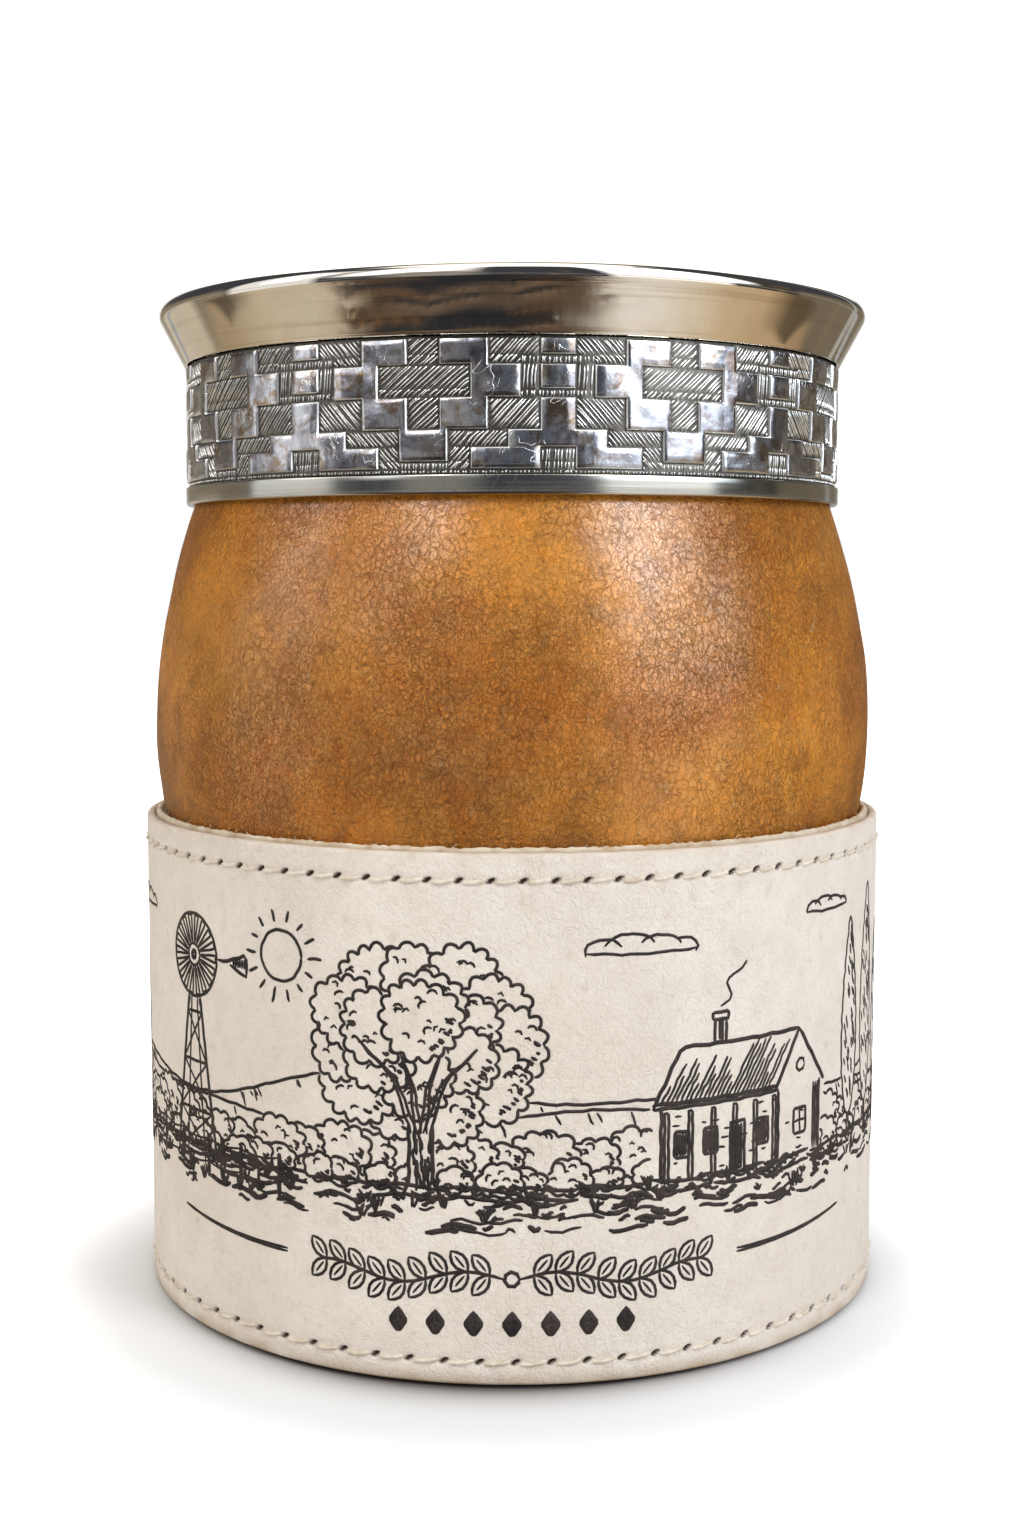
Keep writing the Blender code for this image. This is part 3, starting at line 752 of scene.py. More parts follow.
def makeStitches(name, level, count, phase, node):
    # Each stitch comes out of one hole, lies along the leather with a small sag, and goes
    # into the next: its distance from the leather is a flat-topped arch.
    share = np.linspace(0, 1, stitchShape["steps"])[None, :]
    index = np.arange(count)[:, None]
    draw = np.random.default_rng(count)
    wobble = draw.normal(size=(count, 1))
    reach = 0.05 + 0.87 * share + 0.01 * wobble * np.sin(math.pi * share)
    angle = (index + phase + reach) * fullTurn / count
    arch = 1 - np.abs(2 * share - 1) ** 4
    height = level - 0.2 + 0.36 * share - stitchShape["sag"] * (1 + 0.4 * wobble) * np.sin(math.pi * share)
    radius = cuffRadius(angle, height) + stitchShape["rise"] * arch - stitchShape["sink"] * (1 - arch)
    obj = sweptThread(name, onAxis(radius, angle, height), stitchShape["radius"], stitchShape["twist"])
    return dress(obj, finishes["thread"], "cream_thread", node)


makeCuff()
makeLining()
makeStitches("topStitches", *sewnRows[0], "cuff_top_stitching")
makeStitches("bottomStitches", *sewnRows[1], "cuff_bottom_stitching")
print("cuff: leather, lining and stitches")

# The cuff's print: a countryside in ink lines, each a thin ribbon that lies on the leather.
# Places are millimetres round the cuff from the front and up from the table. Near things
# are drawn first, and each leaves an outline that cuts off the lines behind it.
printShape = {
    "line": 0.34,
    "proud": 0.03,
    "sunk": 0.07,
    "step": 0.3,
    "wobble": 0.05,
    "ground": 16.0,
    "horizon": 20.5,
    "reach": 119.0,
    "houses": ((15.0, 21.5, 7.5, 6.0), (-119.0, 13.0, 5.5, 4.0)),  # left end, width, wall, roof
    "fences": ((-69, -20), (58, 92), (-119, -84)),
    "trees": ((-9.0, 12.5, 9.5), (-72.0, 10.0, 7.5), (-98.0, 8.5, 6.5), (71.0, 11.0, 8.5), (96.0, 8.0, 6.0)),
    "crownRise": 1.35,
    "poplars": (  # place, height and half width
        (43.5, 23.0, 2.0),
        (49.5, 26.0, 2.3),
        (55.5, 21.0, 1.9),
        (60.5, 17.0, 1.7),
        (-58.0, 18.0, 1.8),
        (-86.0, 20.0, 2.0),
        (108.0, 19.0, 1.9),
    ),
    "pumps": ((-38.5, 21.0, 4.4), (84.0, 18.0, 3.8)),  # place, height and wheel
    "sun": (-24.5, 42.0, 2.6),
    "clouds": (
        (13.0, 43.5, 6.5),
        (38.0, 45.5, 4.5),
        (-55.0, 44.0, 6.0),
        (80.0, 44.0, 6.0),
        (-85.0, 45.0, 5.0),
    ),
    "bushes": 64,
    "groundStrokes": 820,
    "tufts": 90,
}
inkDraw = np.random.default_rng(101)
inkLines, inkCovers = [], []


def insideOf(points, outline):  # whether points lie inside a closed outline, by counted crossings
    x, y = points[:, :1], points[:, 1:]
    ax, ay = outline.T
    bx, by = np.roll(outline, -1, axis=0).T
    crosses = (ay > y) != (by > y)
    at = ax + (y - ay) * (bx - ax) / np.where(by == ay, 1e-9, by - ay)
    return np.count_nonzero(crosses & (x < at), axis=1) % 2 == 1


def inkLine(points, weight=1.0, closed=False, shake=1.0):
    # One pen line: evenly stepped, shaken by two slow sines, and cut where it is covered.
    points = np.asarray(points, dtype=float)
    if closed:
        points = np.concatenate([points, points[:1]])
    travelled = np.concatenate([[0], np.cumsum(np.hypot(*np.diff(points, axis=0).T))])
    along = np.linspace(0, travelled[-1], max(3, int(travelled[-1] / printShape["step"]) + 1))
    line = np.stack([np.interp(along, travelled, points[:, i]) for i in (0, 1)], axis=-1)
    phase = inkDraw.uniform(0, fullTurn, (2, 2))
    for axis in (0, 1):
        shaken = np.sin(along * 1.9 + phase[axis, 0]) + 0.7 * np.sin(along * 4.3 + phase[axis, 1])
        line[:, axis] += shake * printShape["wobble"] * shaken
    clear = np.ones(len(line), dtype=bool)
    for outline in inkCovers:
        near = (line >= outline.min(axis=0)).all(axis=1) & (line <= outline.max(axis=0)).all(axis=1)
        if near.any():
            clear[near] &= ~insideOf(line[near], outline)
    for run in np.split(np.arange(len(line)), np.flatnonzero(np.diff(clear.astype(int))) + 1):
        if clear[run[0]] and len(run) > 2:
            sparse = 1 if closed or len(run) < 10 else 2 if len(run) < 24 else 3
            kept = np.unique(np.append(run[::sparse], run[-1]))
            inkLines.append((line[kept], weight))


def arcPoints(u, v, wide, high, start, end, count=24):  # part of an oval, angles in degrees
    turn = np.radians(np.linspace(start, end, count))
    return np.stack([u + wide * np.cos(turn), v + high * np.sin(turn)], axis=-1)


def scallops(u, v, wide, high, lobes, count=120):
    # A leafy outline: an oval whose radius is raised by the bows of a folded sine.
    turn = np.linspace(0, fullTurn, count, endpoint=False)
    bow = np.abs(np.sin(turn * lobes / 2 + 0.5 * np.sin(turn * 2 + inkDraw.uniform(0, 6))))
    size = 0.84 + 0.22 * bow**0.6 + 0.04 * np.sin(turn * 3 + inkDraw.uniform(0, 6))
    return np.stack([u + wide * size * np.cos(turn), v + high * size * np.sin(turn)], axis=-1)


def inkLeaves(u, v, wide, high):
    # One clump of leaves: small curls inside, darker strokes low on the right, then its edge.
    for _ in range(int(2 + wide * high * 0.75)):
        turn, far = inkDraw.uniform(0, fullTurn), inkDraw.uniform(0.1, 0.72) ** 0.7
        size = inkDraw.uniform(0.28, 0.55)
        start = inkDraw.uniform(-30, 60)
        x, y = u + wide * far * math.cos(turn), v + high * far * math.sin(turn)
        inkLine(arcPoints(x, y, size, size, start, start + 150, 8), 0.85)
    for i in range(int(wide * 2.6)):
        a = -1.25 + 1.5 * i / max(1, wide * 2.6) + inkDraw.uniform(-0.1, 0.1)
        edge = np.array([u + 0.8 * wide * math.cos(a), v + 0.8 * high * math.sin(a)])
        inkLine([edge, edge + np.array([-0.5, 0.32]) * inkDraw.uniform(0.6, 1.6)], 1.1)
    outline = scallops(u, v, wide, high, max(6, int(1.9 * (wide + high))))
    inkLine(outline, 1.0, True, 0.6)
    inkCovers.append(outline)


def inkTree(u, wide, high):
    # A spreading tree: forked trunk in front of its crown, which is clumps on an oval.
    ground, base = printShape["horizon"] - 1.5, printShape["horizon"] + 6.0
    girth = 0.075 * wide + 0.25
    top = base + high * 0.55
    left = [(u - 1.6 * girth, ground), (u - girth, ground + 2), (u - girth, base)]
    right = [(u + girth, base), (u + girth, ground + 2), (u + 1.8 * girth, ground)]
    for lean in (-0.55, -0.2, 0.2, 0.5):  # the boughs, seen through the crown
        reach = inkDraw.uniform(0.5, 0.75) * high
        for side in (-0.28, 0.28):
            start = (u + lean * girth + side * girth, base - 1)
            middle = (u + lean * reach * 0.6 + side * 0.5 * girth, base + reach * 0.55)
            inkLine([start, middle, (u + lean * reach * 1.5, base + reach)], 0.9)
    for _ in range(22):
        x, low = u + girth * inkDraw.uniform(-0.8, 0.8), ground + 6.5 * inkDraw.uniform(0.05, 0.85)
        inkLine([(x, low), (x + inkDraw.uniform(-0.15, 0.15), low + inkDraw.uniform(0.8, 2.2))], 0.9)
    inkLine(left, 1.2)
    inkLine(right, 1.2)
    inkCovers.append(np.array(left + right))
    centre = base + high * 0.62
    for far, count in ((0.0, 1), (0.52, 6), (0.92, 11)):
        for i in range(count):
            turn = fullTurn * (i + inkDraw.uniform(-0.2, 0.2)) / count + far * 3
            x, y = u + far * wide * 0.74 * math.cos(turn), centre + far * high * 0.56 * math.sin(turn)
            if far < 0.1:
                y = top + 0.25 * high
            if abs(x - u) < 2.2 * girth and y < base + 1:
                continue
            size = inkDraw.uniform(0.26, 0.34)
            inkLeaves(x, y, size * wide, size * high * 0.92)


def inkPoplar(u, high, wide):
    # A narrow tree: a pointed oval with a feathered edge and short strokes down its right side.
    low = printShape["horizon"]
    share = np.linspace(0, 1, 60)
    swell = wide * np.sin(math.pi * share**0.75) ** 0.8
    rough = 0.18 * np.abs(np.sin(share * 34))
    right = np.stack([u + swell + rough, low + 1.5 + (high - 1.5) * share], axis=-1)
    left = np.stack([u - swell - rough, right[:, 1]], axis=-1)
    for i in range(int(high * 2.1)):
        level = inkDraw.uniform(0.06, 0.9)
        size = wide * math.sin(math.pi * level**0.75) ** 0.8
        x = u + size * (0.85 - 1.5 * inkDraw.uniform(0, 1) ** 1.6)
        y = low + 1.5 + (high - 1.5) * level
        inkLine([(x, y), (x - 0.15, y + 0.5), (x - 0.4, y + inkDraw.uniform(0.7, 1.5))], 0.95)
    inkLine([(u - 0.3, low - 1.5), (u - 0.25, low + 1.8)], 1.0)
    inkLine([(u + 0.35, low - 1.5), (u + 0.25, low + 1.8)], 1.0)
    outline = np.concatenate([right, left[::-1]])
    inkLine(outline, 1.0, True, 0.7)
    inkCovers.append(outline)


def inkBox(u0, v0, u1, v1, weight=1.0, cover=False):
    corners = np.array([(u0, v0), (u1, v0), (u1, v1), (u0, v1)], dtype=float)
    inkLine(corners, weight, True, 0.5)
    if cover:
        inkCovers.append(corners)


def inkFill(u0, v0, u1, v1, pitch=0.3):  # close upright strokes, which read as black
    for x in np.arange(u0, u1, pitch):
        inkLine([(x, v0), (x, v1)], 1.05, shake=0.4)


def inkHouse(left, width, wall, roof):
    # A low farmhouse seen from its long side: shaded windows, a gallery on posts, a hatched
    # roof with its gable at the right, and a chimney.
    low = printShape["horizon"] - 0.5
    right, eave, front = left + width, low + wall, left + width * 0.68
    for x in np.linspace(left + 0.6, front - 0.6, 6):
        inkBox(x - 0.22, low, x + 0.22, eave - 0.5, 1.0)
    for x in np.linspace(left + 2.3, front - 2.3, 4)[[0, 1, 3]]:
        inkBox(x - 0.8, low + 2.4, x + 0.8, low + 5.0, 1.1)
        inkFill(x - 0.5, low + 2.6, x + 0.6, low + 4.8)
    door = np.linspace(left + 2.3, front - 2.3, 4)[2]
    inkBox(door - 0.9, low, door + 0.9, low + 5.2, 1.1)
    inkFill(door - 0.6, low + 0.3, door + 0.7, low + 4.9, 0.36)
    middle = (front + right) / 2
    inkBox(middle - 1.0, low + 2.4, middle + 1.0, low + 5.0, 1.1)
    inkLine([(middle, low + 2.4), (middle, low + 5.0)], 0.8)
    inkLine([(middle - 1.0, low + 3.7), (middle + 1.0, low + 3.7)], 0.8)
    inkLine(arcPoints(middle, eave + roof * 0.35, 0.7, 0.7, 0, 360, 16), 1.0)
    for level in np.arange(low + 0.9, eave - 0.3, 0.95):
        for x in inkDraw.uniform(left + 0.8, right - 0.8, 4):
            inkLine([(x, level), (x + inkDraw.uniform(0.5, 1.0), level)], 0.75)
    inkFill(right - 1.1, low + 0.3, right - 0.2, eave - 0.2, 0.4)
    for x in (left, front, right):
        inkLine([(x, low), (x, eave)], 1.2)
    for lift in (0.0, 0.45):
        inkLine([(left - 0.9, eave + lift), (front, eave + lift)], 1.3)
    ridge = (left + 2.2, eave + roof), (middle - 0.3, eave + roof)
    inkLine([ridge[1], (right + 0.9, eave - 0.2)], 1.4)
    inkLine([ridge[1], (front - 0.6, eave - 0.2)], 1.4)
    inkLine([(left - 0.9, eave), ridge[0], ridge[1]], 1.3)
    for share in np.linspace(0.06, 0.94, 26):
        x0 = left - 0.9 + share * (front - left + 0.3)
        x1 = ridge[0][0] + share * (ridge[1][0] - ridge[0][0])
        broken = inkDraw.uniform(0.25, 1.0)
        inkLine([(x0, eave + 0.5), (x0 + (x1 - x0) * broken, eave + 0.5 + (roof - 0.5) * broken)], 0.85)
    outline = [(left - 0.9, low), (right, low), (right + 0.9, eave - 0.2), *ridge[::-1], (left - 0.9, eave)]
    inkCovers.append(np.array(outline))
    stack = left + width * 0.28
    inkFill(stack + 0.6, eave + roof, stack + 1.2, eave + roof + 2.6)
    inkBox(stack - 0.25, eave + roof + 2.4, stack + 1.65, eave + roof + 3.1, 1.1, True)
    inkBox(stack, eave + roof - 1, stack + 1.4, eave + roof + 2.5, 1.1, True)
    smoke = np.linspace(0, 1, 20)
    drift = stack + 0.7 + 2.6 * smoke + 0.7 * np.sin(smoke * 8)
    inkLine(np.stack([drift, eave + roof + 3.6 + 4.4 * smoke], axis=-1), 0.8)


def inkPump(u, high, size):
    # A wind pump: four legs drawn as two, braces, a platform, and a wheel of blades.
    low = printShape["horizon"] - 2.0
    top = low + high
    hub = (u, top + 0.8)
    corners = ((0.3, 0.02), (0.96, -0.08), (0.96, 0.1), (0.3, 0.1))  # share of the radius, turn
    for i in range(18):
        turn = fullTurn * i / 18
        blade = [
            (hub[0] + far * size * math.cos(turn + skew), hub[1] + far * size * math.sin(turn + skew))
            for far, skew in corners
        ]
        inkLine(blade, 0.85, True, 0.3)
    inkLine(arcPoints(*hub, size, size, 0, 350, 40), 1.0, True, 0.4)
    inkLine(arcPoints(*hub, 0.27 * size, 0.27 * size, 0, 350, 18), 1.0, True, 0.4)
    inkLine(arcPoints(*hub, 0.09 * size, 0.09 * size, 0, 360, 10), 1.6)
    inkCovers.append(arcPoints(*hub, size, size, 0, 350, 36))
    vane = ((0.9, 0.8), (1.5, 1.0), (2.1, 2.0), (2.1, -0.3), (1.5, 0.6))
    inkLine([(u + size * far, top + rise) for far, rise in vane], 1.2)
    inkFill(u + size * 1.65, top + 0.5, u + size * 2.05, top + 1.4, 0.34)
    foot, neck = size * 0.95, 0.55
    levels = np.linspace(0, 1, 5)
    for side in (-1, 1):
        inkLine([(u + side * foot, low), (u + side * neck, top)], 1.3, shake=0.5)
        inkLine([(u + side * foot * 0.45, low - 0.3), (u + side * neck * 0.5, top)], 0.8, shake=0.5)
    for a, b in zip(levels[:-1], levels[1:]):
        wa, wb = foot + (neck - foot) * a, foot + (neck - foot) * b
        inkLine([(u - wa, low + high * a), (u + wb, low + high * b)], 0.8, shake=0.5)
        inkLine([(u + wa, low + high * a), (u - wb, low + high * b)], 0.8, shake=0.5)
        inkLine([(u - wb, low + high * b), (u + wb, low + high * b)], 1.0, shake=0.5)
    inkBox(u + foot + 1.2, low - 0.3, u + foot + 6.5, low + 2.1, 1.2, True)
    inkFill(u + foot + 4.6, low - 0.1, u + foot + 6.3, low + 1.9, 0.42)


def inkGround():
    # The near ground: grass tufts, then short flat strokes that thin out downwards.
    low, high, reach = printShape["ground"], printShape["horizon"], printShape["reach"]
    for _ in range(printShape["tufts"]):
        u, v = inkDraw.uniform(-reach, reach), inkDraw.uniform(low + 0.6, high - 0.6)
        for lean in inkDraw.uniform(-0.6, 0.6, inkDraw.integers(3, 6)):
            tip = (u + lean * 1.6, v + inkDraw.uniform(1.0, 1.6))
            inkLine([(u + lean * 0.3, v), (u + lean * 0.8, v + 0.7), tip], 0.9)
    for _ in range(printShape["groundStrokes"]):
        u = inkDraw.uniform(-reach, reach)
        v = high - 0.2 - (high - low) * inkDraw.uniform(0, 1) ** 1.5
        middle = math.exp(-((u + 2) / 34) ** 2)
        if inkDraw.uniform(0, 1) > 0.4 + 0.6 * middle:
            continue
        length = inkDraw.uniform(0.6, 1.8 + 2.6 * (high - v) / (high - low))
        steps = np.linspace(0, 1, 5)
        stroke = np.stack([u + length * steps, v + 0.22 * np.sin(steps * 5 + u)], axis=-1)
        inkLine(stroke, inkDraw.uniform(0.8, 1.7))
    for v, share in ((high - 0.3, 1.0), (high - 1.3, 0.8)):
        for u in np.arange(-reach, reach, 7.0):
            if inkDraw.uniform(0, 1) < share:
                steps = np.linspace(0, 1, 8)
                inkLine(np.stack([u + 6.6 * steps, v + 0.2 * np.sin(steps * 6 + u)], axis=-1), 1.2)


def inkFence(start, end):
    low = printShape["horizon"] - 3.4
    posts = np.arange(start, end, 5.5)
    for u in posts:
        inkLine([(u, low), (u + 0.1, low + 4.6)], 1.7, shake=0.5)
    for level in (1.6, 2.9, 4.1):
        for u in posts[:-1]:
            steps = np.linspace(0, 1, 7)
            wire = np.stack([u + 5.5 * steps, low + level - 0.35 * np.sin(math.pi * steps)], axis=-1)
            inkLine(wire, 0.7, shake=0.4)


def inkFar():
    # Bushes along the horizon, then two rows of hills, then sun and clouds.
    horizon, reach = printShape["horizon"], printShape["reach"]
    places = np.linspace(-reach + 2, reach - 2, printShape["bushes"])
    for row, (lift, size) in enumerate(((0.4, 1.0), (2.4, 1.25))):
        for u in places + inkDraw.uniform(-1.2, 1.2, len(places)) + row * 1.7:
            wide = size * inkDraw.uniform(1.5, 2.9)
            v = horizon + lift + inkDraw.uniform(-0.3, 0.6)
            inkLeaves(u, v, wide, wide * inkDraw.uniform(0.65, 0.85))
    u = np.linspace(-reach, reach, 420)
    for level, swing, phase in ((26.3, 1.3, 0.4), (28.4, 2.1, 2.2)):
        hill = level + swing * np.sin(u / 13.0 + phase) + 0.5 * swing * np.sin(u / 5.9 + 2 * phase)
        inkLine(np.stack([u, hill], axis=-1), 1.0)
        for x in inkDraw.uniform(-reach, reach, 90):
            y = np.interp(x, u, hill)
            inkLine([(x, y - 0.25), (x + 0.5, y - inkDraw.uniform(0.7, 1.8))], 0.75)
        inkCovers.append(np.concatenate([np.stack([u, hill], axis=-1), [(reach, 15.0), (-reach, 15.0)]]))
    x, y, size = printShape["sun"]
    inkLine(arcPoints(x, y, size, size, 0, 350, 40), 1.0, True, 0.6)
    for turn in np.linspace(0, fullTurn, 15)[:-1]:
        ray = (3.4, inkDraw.uniform(4.3, 5.1))
        inkLine([(x + far * math.cos(turn), y + far * math.sin(turn)) for far in ray], 1.0)
    for u, v, wide in printShape["clouds"]:
        bows = ((-0.62, 0.3, 20, 200), (-0.2, 0.42, 25, 160), (0.28, 0.36, 15, 150), (0.68, 0.24, -30, 120))
        for shift, size, start, end in bows:
            inkLine(arcPoints(u + shift * wide, v, size * wide, size * wide * 0.62, start, end, 16), 0.9)
        inkLine([(u - 0.9 * wide, v - 0.15), (u - 0.1 * wide, v - 0.4), (u + 0.9 * wide, v - 0.2)], 0.9)


def inkOrnament():
    # Under the picture: a leafy sprig between two tapering rules, and a row of lozenges.
    for side in (-1, 1):
        rise = 11.2 + 0.7 * np.sin(np.linspace(0, 8.5, 50))
        inkLine(np.stack([side * np.linspace(0.8, 20.0, 50), rise], axis=-1), 1.0, shake=0.3)
        for at in np.linspace(2.2, 19.2, 9):
            base = np.array([side * at, 11.2 + 0.7 * math.sin(8.5 * (at - 0.8) / 19.2)])
            for way in (-1, 1):
                tip = base + np.array([side * 1.7, way * 2.05])
                across = np.array([-(tip - base)[1], (tip - base)[0]]) * 0.26
                steps = np.linspace(0, 1, 14)[:, None]
                bow = np.sin(math.pi * steps) ** 0.8
                inkLine(base + (tip - base) * steps + across * bow, 0.95, shake=0.3)
                inkLine(base + (tip - base) * steps - across * bow, 0.95, shake=0.3)
                inkLine(base + (tip - base) * np.array([[0.2], [0.75]]), 0.7, shake=0.3)
        steps = np.linspace(0, 1, 40)
        for lift in (-0.17, 0.17):
            rise = 11.9 + 1.1 * steps**2 + lift * (1 - steps)
            inkLine(np.stack([side * (24.0 + 17.0 * steps), rise], axis=-1), 0.85, shake=0.2)
    inkLine(arcPoints(0, 11.2, 0.75, 0.75, 0, 360, 20), 1.2, shake=0.3)
    for u in np.linspace(-11.4, 11.4, 7):
        for size in (1.0, 0.6, 0.25):
            wide, high = 0.8 * size, 1.15 * size
            inkLine([(u, 6.6 - high), (u + wide, 6.6), (u, 6.6 + high), (u - wide, 6.6)], 1.5, True, 0.3)


def makePrint():
    inkGround()
    for ends in printShape["fences"]:
        inkFence(*ends)
    for house in printShape["houses"]:
        inkHouse(*house)
    for pump in printShape["pumps"]:
        inkPump(*pump)
    for u, wide, high in printShape["trees"]:
        inkTree(u, wide, high * printShape["crownRise"])
    for poplar in printShape["poplars"]:
        inkPoplar(*poplar)
    inkFar()
    inkCovers.clear()
    inkOrnament()
    # Every line becomes a closed ribbon with four long sides: two sunk in the leather and
    # two just proud of it. It narrows a little at its ends.
    points, faces, base = [], [], 0
    for line, weight in inkLines:
        along = np.gradient(line, axis=0)
        along /= np.maximum(np.hypot(*along.T), 1e-9)[:, None]
        aside = np.stack([-along[:, 1], along[:, 0]], axis=-1)
        count = len(line)
        ends = np.clip(np.minimum(np.arange(count), np.arange(count)[::-1]) + 0.55, 0, 1)
        half = 0.5 * printShape["line"] * weight * ends[:, None]
        left, right = line + aside * half, line - aside * half
        low, high = -printShape["sunk"], printShape["proud"]
        for edge, lift in ((left, low), (left, high), (right, high), (right, low)):
            points.append(np.concatenate([edge, np.full((count, 1), lift)], axis=1))
        step, side = np.arange(count - 1)[:, None], np.arange(4)[None, :] * count
        following = (side + count) % (4 * count)
        quads = [side + step, following + step, following + step + 1, side + step + 1]
        quads = np.stack(np.broadcast_arrays(*quads), axis=-1).reshape(-1, 4)
        edges = np.arange(4) * count
        caps = [[0, 3 * count, 2 * count, count], edges + count - 1]
        faces.append(base + np.concatenate([quads, caps]))
        base += 4 * count
    flat = np.concatenate(points)
    angle = flat[:, 0] / sizes["cuffRadius"]
    places = onAxis(cuffRadius(angle, flat[:, 1]) + flat[:, 2], angle, flat[:, 1])
    obj = makeMesh("cuffPrint", places, [np.concatenate(faces)])
    print("print: lines", len(inkLines), "faces", len(obj.data.polygons))
    return dress(obj, finishes["ink"], "rawhide")


makePrint()

# The tan cover
coverShape = {
    "bellyRise": 9.2,
    "bellyPower": 1.77,
    "shoulderPower": 1.94,
    "neckStep": 0.17,
    "wall": 1.6,
    "columns": 420,
    "unevenness": 0.1,
    "hiddenLevels": (48.0, 12.5),
    "seamRadius": 40.0,
    "seamWidth": 0.3,
    "seamDepth": 0.45,
}
coverLevels = {
    "belly": sizes["cuffTop"] + coverShape["bellyRise"],
    "neck": sizes["trimFoot"] + 0.6,
    "foot": nodeBox("cover_base_disc")[0].z,
}


def coverRadius(height):
    # Above the belly the radius falls as a power of the height, down to the neck. Below it,
    # the square of the radius falls as a power of the depth, down to nothing at the foot.
    belly, neck, foot = coverLevels["belly"], coverLevels["neck"], coverLevels["foot"]
    neckRadius = sizes["neckRadius"] + coverShape["neckStep"]
    above = np.clip((height - belly) / (neck - belly), 0, 1) ** coverShape["shoulderPower"]
    below = np.clip((belly - height) / (belly - foot), 0, 1) ** coverShape["bellyPower"]
    shoulder = sizes["bellyRadius"] - (sizes["bellyRadius"] - neckRadius) * above
    return np.where(height > belly, shoulder, sizes["bellyRadius"] * np.sqrt(1 - below))


def coverLift(angle, height, radius):
    soft = waves(angle, height, 7, 45.0, 21) + 0.4 * waves(angle, height, 22, 14.0, 22)
    seam = np.exp(-(((angle - math.pi) * coverShape["seamRadius"] / coverShape["seamWidth"]) ** 2))
    return coverShape["unevenness"] * (soft - 0.6) - coverShape["seamDepth"] * seam


def makeCover():
    neck = sizes["neckRadius"]
    seen = np.linspace(coverLevels["neck"], sizes["cuffTop"] - 2.0, 110)
    levels = np.concatenate([seen, np.linspace(*coverShape["hiddenLevels"], 18)])
    side = np.stack([coverRadius(levels), levels], axis=-1)
    outer = np.concatenate([[(neck, sizes["coverTop"]), (neck, coverLevels["neck"] + 1.2)], side])
    normals = outwards(outer, False)
    inner = (outer - normals * coverShape["wall"])[::-2]
    profile = np.concatenate([outer, inner])
    rows = len(outer)
    back = math.pi + np.linspace(-1.0, 1.0, 9) / coverShape["seamRadius"]

    def lift(angle, height, radius):
        outerRow = (np.arange(len(profile)) < rows)[:, None]
        free = (height < coverLevels["neck"] - 0.2) & outerRow
        return np.where(free, coverLift(angle, height, radius), 0.0)

    obj = turnPiece("coverLeather", profile, evenAngles(coverShape["columns"], back), lift)
    return dress(obj, finishes["tan"], "tan_leather", "body_cover")


makeCover()

lacingShape = {"pitch": 4.0, "bite": 1.5, "radius": 0.25, "rise": 0.22, "twist": 1.5}


def makeLacing(name, low, high, surface, node):
    # Stitches that cross the seam at the back from side to side, each a low arch.
    count = 2 * max(1, round((high - low) / lacingShape["pitch"]))
    share = np.linspace(0, 1, 15)[None, :]
    index = np.arange(count)[:, None]
    side = np.where(index % 2 == 0, -1.0, 1.0)
    height = low + (high - low) * (index + 0.08 + 0.84 * share) / count
    across = lacingShape["bite"] * side * (1 - 2 * share)
    arch = 1 - np.abs(2 * share - 1) ** 4
    radius = surface(height) + lacingShape["rise"] * arch - 0.5 * (1 - arch) + 0.1
    paths = onAxis(radius, math.pi + across / radius, height)
    obj = sweptThread(name, paths, lacingShape["radius"], lacingShape["twist"])
    return dress(obj, finishes["thread"], "cream_thread", node)


makeLacing("coverLacing", sizes["cuffTop"] + 2.0, sizes["trimFoot"] - 2.0, coverRadius, "cover_seam_thread")
makeLacing(
    "cuffLacing",
    sizes["bottomRow"] + 2.5,
    sizes["topRow"] - 2.5,
    lambda height: np.full(height.shape, sizes["cuffRadius"]),
    "cuff_seam_thread",
)

fibreShape = {"number": 90, "length": 0.8, "radius": 0.035}


def makeFibres():
    # Loose ends of the lining's cut edge: short bent threads, each a parabola in time.
    draw = np.random.default_rng(91)
    number = fibreShape["number"]
    share = np.linspace(0, 1, 6)[None, :]
    turn = draw.uniform(0, fullTurn, (number, 1))
    length = fibreShape["length"] * draw.uniform(0.3, 1.15, (number, 1))
    lean, bend = draw.normal(size=(2, number, 1)) * 0.6
    along = length * (lean * share + bend * share**2)
    inner = sizes["liningRadius"] - 0.45
    radius = inner - 0.25 * length * share + draw.uniform(-0.1, 0.2, (number, 1))
    height = sizes["liningTop"] - 0.1 + length * (share - 0.35 * share**2)
    paths = onAxis(radius, turn + along / inner, height)
    obj = sweptThread("lipFibres", paths, fibreShape["radius"], 9.0, 5, 0.5)
    return dress(obj, finishes["edge"], "raw_edge")


makeFibres()
print("cover: leather, lacings and lip fibres")

# The ferrule's plain pieces
ferruleShape = {"sheet": 0.5, "bead": 1.1, "curlEnd": 215.0, "columns": 360, "wobble": 0.06}


